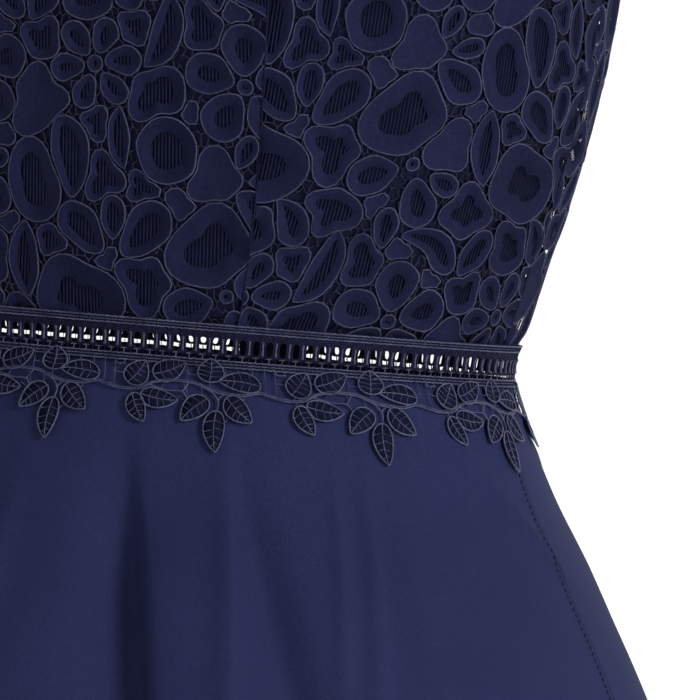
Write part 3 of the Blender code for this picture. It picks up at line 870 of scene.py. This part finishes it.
# Flowers: petals fanned round a centre. The sizes are for one petal.
Flower = namedtuple("Flower", "x y petals start spread reach length width slit heart")
FLOWERS = (
    Flower(27, 22, 3, 50, 42, 15.5, 22, 14.5, 0.75, 0),
    Flower(69, 82, 5, 20, 72, 11.6, 17, 14.0, 0.60, 5.6),
    Flower(20, 86, 6, 10, 60, 9.6, 14, 10.5, 0.50, 5.8),
    Flower(64, 15, 4, 200, 45, 13.0, 17, 12.5, 0.65, 5.0),
    Flower(64, 50, 3, -35, 50, 12.5, 19, 12.5, 0.60, 0),
)
BIG_MOTIFS = (
    Motif(44, 60, 80, 22, 20, 0, "round", 0.85),
    Motif(84, 46, 65, 30, 11, 140, "scroll", 0.60),
    Motif(12, 56, 100, 27, 13, 35, "petal", 0.80),
    Motif(44, 97, 70, 27, 10.5, 60, "leaf", 0.60),
    Motif(28, 63, 95, 24, 9.5, -30, "leaf", 0.65),
    Motif(45, 80, 15, 22, 9.5, 70, "scroll", 0.50),
    Motif(88, 22, 95, 25, 11.0, -25, "leaf", 0.65),
    Motif(6, 20, 75, 27, 11.0, 120, "scroll", 0.60),
    Motif(43, 5, 10, 19, 10.0, 50, "petal", 0.50),
    Motif(78, 108, 150, 25, 9.5, 90, "scroll", 0.55),
    Motif(2, 106, 60, 19, 11.5, 0, "petal", 0.65),
    Motif(60, 112, 95, 17, 10.5, 0, "petal", 0.70),
    Motif(30, 112, 120, 18, 9.5, 60, "scroll", 0.50),
    Motif(90, 90, 95, 20, 9.5, 20, "petal", 0.60),
)


def draw_repeat():
    """The lace's repeat: the listed flowers, scrolls and leaves, then others in the spaces."""
    repeat = Repeat()
    for flower in FLOWERS:
        if flower.heart:
            repeat.place(Motif(flower.x, flower.y, 0, flower.heart, flower.heart, 0, "round", 0.5))
        for k in range(flower.petals):
            turn = flower.start + flower.spread * k
            x = flower.x + flower.reach * math.cos(math.radians(turn))
            y = flower.y + flower.reach * math.sin(math.radians(turn))
            repeat.place_shrunk(Motif(x, y, turn, flower.length, flower.width, 0, "petal",
                                      flower.slit))
    for motif in BIG_MOTIFS:
        repeat.place_shrunk(motif)
    repeat.fill(random.Random(11))
    pattern = Pattern()
    for k, motif in enumerate(repeat.motifs):
        add_motif(pattern, motif, 0.035 * (k % 4))
    add_net(pattern, repeat)
    return pattern.arrays()


NET_COLUMNS = 36
NET_ROWS = 34
NET_THREAD = 0.26


def add_net(pattern, repeat):
    """The ground between the motifs: an uneven net, with some of its threads left out."""
    chance = random.Random(5)
    wide, tall = REPEAT_WIDE / NET_COLUMNS, REPEAT_TALL / NET_ROWS
    jitter = [[(chance.uniform(-0.28, 0.28) * wide, chance.uniform(-0.2, 0.2) * tall)
               for _ in range(NET_ROWS)] for _ in range(2 * NET_COLUMNS)]

    def knot(column, row):
        """A corner of the net: two to a hole, on rows that step half a hole sideways."""
        dx, dy = jitter[column % (2 * NET_COLUMNS)][row % NET_ROWS]
        zig = tall * (1 / 3 if (column + row) % 2 else -1 / 3) / 2
        return np.array((column * wide / 2 + dx, row * tall + zig + dy))

    for row in range(NET_ROWS):
        for column in range(2 * NET_COLUMNS):
            ends = [(column + 1, row)]
            if (column + row) % 2:
                ends.append((column, row + 1))
            start = knot(column, row)
            for end in ends:
                path = np.array((start, knot(*end)))
                if repeat.clearance(path).max() < -0.1 or chance.random() < 0.12:
                    continue
                add_cord(pattern, path, NET_THREAD, 0.0, NET, sides=3, squash=0.45)


# ---------------------------------------------------------------- laying flat work on the form


class BodiceLaying:
    """Lays flat work on the front or back: across from a middle angle, up from the waist."""

    def __init__(self, facing, middle):
        self.facing = facing
        self.middle = middle
        lower, upper = np.arange(-0.394, -0.052, 0.002), np.arange(-0.052, 0.0002, 0.0005)
        self.levels = np.minimum(np.concatenate((lower, upper)), 0.0)
        spine = 37.0 if facing > 0 else 143.0
        path = form_points(spine, self.levels, facing)
        steps = np.linalg.norm(np.diff(path, axis=0), axis=1)
        self.heights = np.concatenate(([0.0], np.cumsum(steps))) / MM
        self.widths = np.arange(-170.0, 171.0, 1.0)
        angles = middle + np.arange(-100.0, 101.0, 1.0)
        points = form_points(angles[None, :], self.levels[:, None], facing)
        arcs = np.zeros(points.shape[:2])
        arcs[:, 1:] = np.cumsum(np.linalg.norm(np.diff(points, axis=1), axis=2), axis=1) / MM
        arcs -= arcs[:, 100:101]
        self.arcs, self.angles = arcs, angles
        self.table = np.array([np.interp(self.widths, row, angles) for row in arcs])

    def flat(self, angle, level):
        """The flat place of a point that is given by its angle and level."""
        up = np.interp(level, self.levels, self.heights)
        row = np.interp(level, self.levels, np.arange(len(self.levels)))
        low = np.clip(row.astype(int), 0, len(self.levels) - 2)
        part = row - low
        across = [(1 - p) * np.interp(a, self.angles, self.arcs[k])
                  + p * np.interp(a, self.angles, self.arcs[k + 1])
                  for a, k, p in zip(angle, low, part)]
        return np.column_stack((across, up))

    def lay(self, points, lift):
        """Points (across, up, height) in millimetres, on the form in metres."""
        row = np.interp(points[:, 1], self.heights, np.arange(len(self.levels)))
        level = np.interp(points[:, 1], self.heights, self.levels)
        low = np.clip(row.astype(int), 0, len(self.levels) - 2)
        part = row - low
        column = np.clip(points[:, 0] - self.widths[0], 0, len(self.widths) - 1.001)
        left = column.astype(int)
        share = column - left
        angle = ((1 - part) * ((1 - share) * self.table[low, left] + share * self.table[low, left + 1])
                 + part * ((1 - share) * self.table[low + 1, left]
                           + share * self.table[low + 1, left + 1]))
        place, out = form_frame(angle, level, self.facing)
        return place + out * (lift + points[:, 2:3] * MM)


def panel_outline(laying, parts):
    """A panel's closed outline, flat: up its first edge, over its top, down its last."""
    levels = np.concatenate((np.linspace(-0.3905, -0.17, 90), np.linspace(-0.168, -0.0005, 200), [0.0]))
    first, last = parts[0], parts[-1]
    stretches = [(first.first, levels)]
    if len(parts) > 1:
        upper = levels[levels > FRONT_NECK]
        stretches += [(first.last, upper[::-1]), (last.first, upper)]
    stretches.append((last.last, levels[::-1]))
    outline = [laying.flat(edge(rows), rows) for edge, rows in stretches]
    outline.append(outline[0][:1])
    joined = np.concatenate(outline)
    dense = [joined[:1]]
    for a, b in zip(joined, joined[1:]):
        steps = max(1, int(np.hypot(*(b - a)) / 0.8))
        dense.append(a + (b - a) * np.linspace(0, 1, steps + 1)[1:, None])
    return np.concatenate(dense)[:-1]


def trim_to_outline(points, faces, finishes, pieces, outline):
    """Cuts flat work to an outline: small pieces that cross it are drawn back to it, still closed,
    and those that lie outside it are dropped."""
    inside = inside_outline(points, outline)
    kept = np.zeros(pieces.max() + 1, bool)
    kept[pieces[inside]] = True
    keep = kept[pieces[faces[:, 0]]]
    faces, finishes = faces[keep], finishes[keep]
    used = np.unique(faces)
    tree = KDTree(len(outline))
    for k, spot in enumerate(outline):
        tree.insert((spot[0], spot[1], 0), k)
    tree.balance()
    points = points.copy()
    for k in used[~inside[used]]:
        spot = tree.find((points[k, 0], points[k, 1], 0))[0]
        points[k, :2] = spot[0], spot[1]
    renumber = np.full(len(points), -1)
    renumber[used] = np.arange(len(used))
    return points[used], renumber[faces], finishes


LACE_LIFT = -0.0007
PANEL_SHIFTS = {"front_center": (0, 0), "side_front_left": (31, 47), "side_front_right": (58, 23),
                "back_left": (12, 70), "back_right": (77, 35)}


def make_lace_panel(word, parts, repeat, materials):
    """One lace panel: the repeat laid over it, cut to its outline, with a flat cord on its edge."""
    levels = np.linspace(-0.39, 0, 40)
    middle = 0.0
    if len(parts) == 1:
        middle = float(np.mean(parts[0].first(levels) + parts[0].last(levels)) / 2)
    laying = BodiceLaying(parts[0].facing, middle)
    outline = panel_outline(laying, parts)
    shift = PANEL_SHIFTS[word]
    low, high = outline.min(axis=0), outline.max(axis=0)
    points, faces, finishes, pieces = repeat
    pattern = Pattern()
    for i in range(math.floor((low[0] - shift[0]) / REPEAT_WIDE) - 1,
                   math.ceil((high[0] - shift[0]) / REPEAT_WIDE) + 1):
        for j in range(math.floor((low[1] - shift[1]) / REPEAT_TALL) - 1,
                       math.ceil((high[1] - shift[1]) / REPEAT_TALL) + 1):
            moved = points + (shift[0] + i * REPEAT_WIDE, shift[1] + j * REPEAT_TALL, 0)
            near = ((moved[:, :2] > low - 1) & (moved[:, :2] < high + 1)).all(axis=1)
            if near.any():
                pattern.add(moved, faces, finishes, pieces)
    edged = Pattern()
    edged.add(*trim_to_outline(*pattern.arrays(), outline))
    add_cord(edged, outline[::2], 0.36, 0.0, CLOTH, closed=True, squash=0.7)
    points, faces, finishes, _ = edged.arrays()
    return make_object("lace_cloth_" + word, laying.lay(points, LACE_LIFT), faces.tolist(), materials,
                       which=finishes, flat=points[:, :2] * MM)


# ---------------------------------------------------------------- the waist trim

WAIST_AROUND = 660.0
LADDER_CELLS = 156
CELL = WAIST_AROUND / LADDER_CELLS
TRIM_REPEAT = 55.0
TRIM_LIFT = 0.0006
EDGING_LIFT = 0.0011
TRIM_END = 0.4

CELL_HOLE_HALF = 1.15
CELL_HOLE_TALL = 2.55
CELL_TOP = 4.6
BAR_HALF = 2.3
CELL_BOTTOM = 3.15
BRAID_FROM = 4.55
BRAID_TO = 7.1


def smooth_path(knots, steps, closed=False):
    """A smooth path through a few points, with the same number of steps between each two."""
    knots = np.asarray(knots, float)
    if closed:
        around = np.concatenate((knots[-1:], knots, knots[:2]))
    else:
        around = np.concatenate((2 * knots[:1] - knots[1:2], knots, 2 * knots[-1:] - knots[-2:-1]))
    path = []
    for a, b, c, d in zip(around, around[1:], around[2:], around[3:]):
        for k in range(steps):
            t = k / steps
            path.append(0.5 * (2 * b + (c - a) * t + (2 * a - 5 * b + 4 * c - d) * t * t
                               + (3 * b - a - 3 * c + d) * t ** 3))
    if not closed:
        path.append(knots[-1])
    return np.array(path)


def draw_ladder_cell():
    """One cell of the ladder: an oblong hole with a wrapped rim, and half a bar at each side."""
    pattern = Pattern()
    steps = 16
    turn = 2 * np.pi * np.arange(steps) / steps
    shape = np.stack((np.sign(np.sin(turn)) * np.abs(np.sin(turn)) ** 0.7,
                      -np.sign(np.cos(turn)) * np.abs(np.cos(turn)) ** 0.7), axis=1)
    hole = shape * (CELL_HOLE_HALF, CELL_HOLE_TALL)
    square = np.clip(shape * 1.5, -1, 1)
    border = square * np.column_stack((np.full(steps, CELL / 2),
                                       np.where(square[:, 1] > 0, CELL_TOP, CELL_BOTTOM)))
    loops = [np.column_stack((loop, np.full(steps, height)))
             for loop, height in ((hole, 0.0), (hole, 0.3), (border, 0.3), (border, 0.0))]
    pattern.add(np.concatenate(loops), ring_faces([0, steps, 2 * steps, 3 * steps, 0], steps), CLOTH)
    add_cord(pattern, hole * (1.16, 1.06), 0.25, 0.22, CLOTH, closed=True)
    # The bars take the cord finish, whose lighter colour is partly a painted highlight.
    bar = np.linspace(-BAR_HALF, BAR_HALF, 7)
    add_cord(pattern, np.column_stack((np.full(7, -CELL / 2), bar)), 0.34 + 0.26 * (bar / BAR_HALF) ** 2,
             0.2, HIGHLIT_CORD, squash=0.8)
    for side in (-1, 1):
        add_cord(pattern, [(side * 1.2, 3.0), (side * 1.2, 4.3)], 0.16, 0.2, CLOTH, sides=3)
    add_cord(pattern, [(-CELL / 2, 3.75), (CELL / 2, 3.75)], 0.2, 0.2, CLOTH)
    add_cord(pattern, [(-1.0, -3.25), (0.0, -3.0), (1.0, -3.25)], 0.2, 0.2, HIGHLIT_CORD)
    add_cord(pattern, [(0.0, -3.0), (0.1, -3.9), (-0.05, -4.7)], 0.2, 0.15, HIGHLIT_CORD)
    add_cord(pattern, [(CELL / 2, -3.1), (CELL / 2, -4.7)], 0.16, 0.1, CLOTH)
    return pattern.arrays()


def draw_braid(side):
    """A short length of braid, one cell long: three wavy cords and slanting stitches."""
    pattern = Pattern()
    steps = 6
    along = np.linspace(-CELL / 2, CELL / 2, steps + 1)
    low, high = BRAID_FROM, BRAID_TO
    band = [np.column_stack((along, np.full(steps + 1, edge), np.full(steps + 1, height)))
            for edge, height in ((low, 0.0), (low, 0.3), (high, 0.3), (high, 0.0))]
    starts = [0, steps + 1, 2 * steps + 2, 3 * steps + 3, 0]
    pattern.add(np.concatenate(band), ring_faces(starts, steps + 1, closed=False), CLOTH)
    for row, radius in ((low + 0.25, 0.30), ((low + high) / 2, 0.22), (high - 0.25, 0.30)):
        wave = 0.10 * np.sin(2 * np.pi * along / CELL * 2)
        add_cord(pattern, np.column_stack((along, row + wave)), radius, 0.2, HIGHLIT_CORD)
    for k in range(4):
        u = -CELL / 2 + (k + 0.5) * CELL / 4
        add_cord(pattern, [(u - 0.3, low + 0.2), (u + 0.35, high - 0.2)], 0.2, 0.22, CLOTH, sides=3)
    points, faces, finishes, pieces = pattern.arrays()
    if side < 0:
        points = points * (1, -1, 1)
        faces = faces[:, ::-1]
    return points, faces, finishes, pieces


# The leaf edging's repeat: centre of each leaf across and below the ladder's middle, the way its
# tip points (0 across to the left of the wearer, -90 down), its length and its width.
Leaf = namedtuple("Leaf", "across drop turn length width")
LEAVES = (
    Leaf(11.2, 23.6, -62, 10.4, 6.2),
    Leaf(17.9, 19.5, -6, 12.6, 6.6),
    Leaf(29.8, 22.8, -136, 11.4, 7.4),
    Leaf(37.0, 29.6, -90, 13.8, 6.8),
    Leaf(44.4, 21.8, -44, 11.4, 7.4),
    Leaf(44.6, 12.9, 176, 14.0, 6.6),
    Leaf(34.6, 8.9, 86, 8.4, 9.0),
    Leaf(9.6, 11.4, 55, 9.6, 8.4),
    Leaf(20.8, 9.4, 24, 12.0, 7.6),
)
SCALLOP_LINE = ((0, 16.6), (5, 17.6), (11, 17.2), (15, 15.0), (21, 13.7), (29, 13.9), (34, 15.6),
                (39, 16.8), (46, 17.0), (51, 15.8))
# Short threads that tie the leaves, the scallop line and the braid together: from, then to.
Tie = namedtuple("Tie", "across drop to_across to_drop")
TIES = (
    Tie(1.5, 7.0, 2.0, 16.8), Tie(4.6, 7.0, 5.4, 9.6), Tie(13.2, 7.0, 13.6, 15.8),
    Tie(15.4, 7.0, 16.2, 8.6),
    Tie(26.8, 7.0, 27.0, 13.8), Tie(29.6, 7.0, 30.8, 9.4), Tie(39.6, 7.0, 39.9, 10.6),
    Tie(43.9, 7.0, 44.2, 9.8), Tie(48.8, 7.0, 49.0, 10.2), Tie(53.0, 7.0, 53.4, 16.4),
    Tie(2.0, 11.8, 5.6, 12.2), Tie(13.8, 10.9, 15.4, 11.0), Tie(27.0, 10.6, 30.4, 11.0),
    Tie(23.0, 12.6, 24.0, 13.7), Tie(49.2, 12.6, 53.0, 12.0), Tie(34.6, 12.9, 34.4, 15.4),
    Tie(8.0, 15.8, 7.6, 17.4), Tie(8.4, 17.5, 8.4, 19.0), Tie(12.0, 17.0, 12.4, 18.6),
    Tie(19.0, 14.2, 18.4, 16.4), Tie(24.0, 18.6, 26.0, 19.6), Tie(25.6, 13.8, 27.8, 19.0),
    Tie(31.6, 14.6, 32.4, 18.8), Tie(41.0, 17.0, 41.6, 18.6), Tie(46.4, 17.0, 45.6, 18.4),
    Tie(33.4, 25.6, 34.2, 26.8), Tie(40.0, 26.2, 40.6, 25.0), Tie(13.0, 18.2, 13.6, 17.2),
)
STEMS = (
    ((31.5, 14.6), (35.6, 16.6), (37.6, 19.6), (37.2, 22.6)),
    ((13.6, 15.4), (20.3, 16.9), (25.4, 17.0), (27.4, 19.4)),
    ((25.4, 17.0), (26.6, 15.4), (27.4, 13.9)),
    ((39.6, 16.8), (37.8, 18.2), (37.4, 19.8)),
    ((1.0, 7.0), (2.6, 9.0), (5.4, 8.6)),
    ((52.0, 15.9), (49.4, 15.6), (47.0, 16.0)),
)


def add_leaf(pattern, leaf, base):
    """A leaf: a corded outline, round at its foot and pointed at its tip, a thin dark sheet that is
    painted shade for the shadow under the raised leaf, a midrib and its side veins."""
    steps = 24
    t = 2 * np.pi * np.arange(steps) / steps
    x = -np.cos(t)
    half = np.sign(np.sin(t)) * np.sqrt(1 + x) * np.abs(1 - x) ** 0.8 / 1.035
    bow = 0.05 * leaf.length * (x * x - 1)
    turn = math.radians(leaf.turn)
    spin = np.array(((math.cos(turn), math.sin(turn)), (-math.sin(turn), math.cos(turn))))
    centre = np.array((leaf.across, -leaf.drop))

    def put(path):
        return np.asarray(path) @ spin + centre

    outline = put(np.column_stack((x * leaf.length / 2, half * leaf.width / 2 + bow)))
    add_cord(pattern, outline, 0.30, base, HIGHLIT_CORD, closed=True)
    # This dark sheet paints the shade that falls under the raised leaf.
    ground = [np.column_stack((outline, np.full(steps, height))) for height in (base, base + 0.1)]
    ground.append([(*centre, base + 0.1), (*centre, base)])
    faces = ring_faces([0, steps], steps) + lid_faces(steps, 0, 2 * steps, steps)
    pattern.add(np.concatenate(ground), faces, LEAF_SHADE)
    shares = np.linspace(-0.96, 0.96, 9)
    middle = 0.05 * leaf.length * (shares * shares - 1)
    add_cord(pattern, put(np.column_stack((shares * leaf.length / 2, middle))), 0.19, base + 0.1, HIGHLIT_CORD)
    for k, share in enumerate((-0.55, -0.15, 0.22, 0.55)):
        for side in (-1, 1):
            foot = share - 0.05 * side * (k % 2)
            tip = min(foot + 0.16, 0.9)
            reach = math.sqrt(1 + tip) * (1 - tip) ** 0.8 / 1.035 * leaf.width / 2
            path = [(foot * leaf.length / 2, 0.05 * leaf.length * (foot * foot - 1)),
                    (tip * leaf.length / 2, side * reach + 0.05 * leaf.length * (tip * tip - 1))]
            add_cord(pattern, put(path), 0.15, base + 0.1, HIGHLIT_CORD, sides=3)


def draw_edging_repeat():
    """One repeat of the leaf edging, with a doubled scallop line and tie threads."""
    pattern = Pattern()
    for k, leaf in enumerate(LEAVES):
        add_leaf(pattern, leaf, 0.10 + 0.05 * (k % 3))
    knots = [(u - TRIM_REPEAT, v) for u, v in SCALLOP_LINE[-2:]] + list(SCALLOP_LINE)
    knots += [(u + TRIM_REPEAT, v) for u, v in SCALLOP_LINE[:3]]
    line = smooth_path([(u, -v) for u, v in knots], 4)
    line = line[(line[:, 0] > -0.6) & (line[:, 0] < TRIM_REPEAT + 0.6)]
    add_cord(pattern, line, 0.27, 0.0, HIGHLIT_CORD)
    add_cord(pattern, line + (0.2, 0.62), 0.18, 0.05, HIGHLIT_CORD)
    for stem in STEMS:
        add_cord(pattern, smooth_path([(u, -v) for u, v in stem], 4), 0.24, 0.05, HIGHLIT_CORD)
    for tie in TIES:
        path = np.array(((tie.across, -tie.drop), (tie.to_across, -tie.to_drop)))
        bowed = np.array((path[0], path.mean(axis=0) + (0.12, 0.0), path[1]))
        add_cord(pattern, bowed, 0.15, 0.05, HIGHLIT_CORD, sides=3)
    return pattern.arrays()


def repeat_along(unit, starts):
    points, faces, finishes, pieces = unit
    pattern = Pattern()
    for start in starts:
        pattern.add(points + (start, 0, 0), faces, finishes, pieces)
    return pattern.arrays()


def waist_angles():
    """Angles round the waist against the distance from the centre front, in millimetres."""
    angles = np.arange(-180, 180.1, 0.5)
    front = form_points(angles, WAIST, 1)
    back = form_points(angles, WAIST, -1)
    points = np.where((np.abs(angles) <= SIDE_SEAM)[:, None], front, back)
    arcs = np.concatenate(([0.0], np.cumsum(np.linalg.norm(np.diff(points, axis=0), axis=1)))) / MM
    middle = np.interp(0.0, angles, arcs)
    return arcs - middle, angles


def lay_round(arrays, lift, name, materials):
    """Lays trim round the waist: across is the distance from the centre front, up is the level."""
    points, faces, finishes, _ = arrays
    arcs, angles = waist_angles()
    reach = min(-arcs[0], arcs[-1])
    across = points[:, 0] * reach / (WAIST_AROUND / 2)
    across = np.clip(across, -reach + TRIM_END, reach - TRIM_END)
    angle = np.interp(across, arcs, angles)
    level = WAIST + points[:, 1] * MM
    front, out_front = form_frame(angle, level, 1)
    back, out_back = form_frame(angle, level, -1)
    on_front = (np.abs(angle) <= SIDE_SEAM)[:, None]
    place = np.where(on_front, front, back)
    out = np.where(on_front, out_front, out_back)
    return make_object(name, place + out * (lift + points[:, 2:3] * MM), faces.tolist(), materials,
                       which=finishes, flat=points[:, :2] * MM)


EDGING_REPEATS = 13
EDGING_SCALE = WAIST_AROUND / EDGING_REPEATS / TRIM_REPEAT
EDGING_SHIFT = 27.9


def make_trim(materials):
    finishes = [materials["trim_cloth"], materials["trim_cord_and_highlight"], materials["trim_leaf_shade"]]
    half = LADDER_CELLS / 2
    cells = [(k + 0.5 - half) * CELL for k in range(LADDER_CELLS)]
    made = {"trim_ladder": lay_round(repeat_along(draw_ladder_cell(), cells), TRIM_LIFT,
                                     "ladder_tape", finishes)}
    for node_name, side in (("trim_top_braid", 1), ("trim_bottom_braid", -1)):
        made[node_name] = lay_round(repeat_along(draw_braid(side), cells), TRIM_LIFT,
                                    node_name.replace("trim", "ladder"), finishes)
    starts = [k * TRIM_REPEAT + EDGING_SHIFT / EDGING_SCALE for k in range(-8, 9)]
    points, faces, words, pieces = repeat_along(draw_edging_repeat(), starts)
    points = points * (EDGING_SCALE, EDGING_SCALE, 1)
    beyond = np.abs(points[:, 0]) > WAIST_AROUND / 2 - TRIM_END
    cut = np.zeros(pieces.max() + 1, bool)
    cut[pieces[beyond]] = True
    keep = ~cut[pieces[faces[:, 0]]]
    used, faces = np.unique(faces[keep], return_inverse=True)
    edging = points[used], faces.reshape(-1, 3), words[keep], pieces[used]
    made["trim_leaf_edging"] = lay_round(edging, EDGING_LIFT, "leaf_edging", finishes)
    for node_name, piece in made.items():
        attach(piece, "dress")
        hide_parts(node_name)


# ---------------------------------------------------------------- the skirt


def skirt_panels():
    def side(angle):
        return lambda level: angle + 0 * level

    def centre_back(level):
        return CENTRE_BACK - seam_shift(level, SEAM_GAP)

    return {
        "skirt_front": (Panel(side(-SIDE_SEAM), side(SIDE_SEAM), 1), 340),
        "skirt_back_left": (Panel(side(SIDE_SEAM), centre_back, -1), 130),
        "skirt_back_right": (Panel(lambda level: -centre_back(level), side(-SIDE_SEAM), -1), 130),
    }


SKIRT_THICK = 0.0011
SKIRT_LEVELS = np.concatenate((np.linspace(HEM, -0.60, 22), np.linspace(-0.595, -0.401, 42)))


def make_skirt(materials):
    for name, (panel, cells) in skirt_panels().items():
        piece = cloth_sheet(name.replace("skirt", "skirt_cloth"), (panel,), SKIRT_LEVELS, cells, 0.0,
                            SKIRT_THICK, materials["crepe"])
        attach(piece, "dress")
        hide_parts(name)


# A stitch and the way from one to the next along the seam, and a stitch's radius, height and
# distance from the seam, in metres.
STITCH_LONG = 0.001215
STITCH_PITCH = 0.001935
STITCH_RADIUS = 0.00028
STITCH_HIGH = 0.00018
STITCH_INSIDE = 0.0022
STITCH_SIDES = 5
STITCHES_START = 0.028
STITCHES_END = 0.020


def make_side_stitches(materials):
    """The side seams' stitches: short dark threads down the edge of the front panel."""
    points, faces, count = [], [], 0
    for side in (-1, 1):
        level = WAIST - STITCHES_START
        while level > HEM + STITCHES_END:
            ends = np.array((level, level - STITCH_LONG))
            angle = side * (SIDE_SEAM - np.degrees(STITCH_INSIDE / figure_size(level, "half_width")))
            place, out = form_frame(angle, ends, 1)
            place = place + out * crease_rise(angle, ends)[:, None]
            around = np.cross(out, place[1] - place[0])
            around /= np.linalg.norm(around, axis=1, keepdims=True)
            for k in range(2):
                for turn in 2 * np.pi * np.arange(STITCH_SIDES) / STITCH_SIDES:
                    points.append(place[k] + out[k] * (STITCH_HIGH + STITCH_RADIUS * math.cos(turn))
                                  + around[k] * STITCH_RADIUS * math.sin(turn))
            low, high = ([count + end * STITCH_SIDES + i for i in range(STITCH_SIDES)] for end in (0, 1))
            faces += list(zip(low, low[1:] + low[:1], high[1:] + high[:1], high))
            faces += [tuple(reversed(low)), tuple(high)]
            count += 2 * STITCH_SIDES
            level -= STITCH_PITCH
    piece = make_object("side_seam_stitches", points, faces, [materials["stitch"]],
                        flat=np.array(points)[:, 1:])
    edit_whole(piece, bpy.ops.mesh.normals_make_consistent, inside=False)
    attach(piece, "dress")


# ---------------------------------------------------------------- the bodice

LINING_CELLS = 28
LINING_LIFT = -0.0016
LINING_THICK = 0.0009
BODICE_LEVELS = np.concatenate((np.linspace(-0.3905, -0.17, 46), np.linspace(-0.168, -0.052, 34),
                                np.linspace(-0.048, 0.0, 24)))


def make_bodice(materials):
    repeat = draw_repeat()
    finishes = [materials["lace_cloth"], materials["lace_cord_and_highlight"], materials["lace_net"]]
    for word, parts in bodice_panels().items():
        lace = make_lace_panel(word, parts, repeat, finishes)
        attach(lace, "dress")
        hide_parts("lace_" + word)
        if parts[0].facing < 0:
            continue
        lining = cloth_sheet("lining_cloth_" + word, parts, BODICE_LEVELS, LINING_CELLS, LINING_LIFT,
                             LINING_THICK, materials["satin"])
        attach(lining, "dress")
        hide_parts("lining_" + word)


def finish_zip(frame, materials):
    finishes = {"zip_tape_left": "tape", "zip_tape_right": "tape", "zip_chain": "zip_coil",
                "zip_slider": "zip_metal", "zip_pull": "zip_metal"}
    for name, finish in finishes.items():
        for slot in frame["nodes"][name].material_slots:
            slot.material = materials[finish]


def main():
    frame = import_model()
    bpy.ops.object.select_all(action="DESELECT")
    make_camera()
    make_studio()
    materials = make_materials()
    make_skirt(materials)
    make_side_stitches(materials)
    make_trim(materials)
    make_bodice(materials)
    finish_zip(frame, materials)


main()
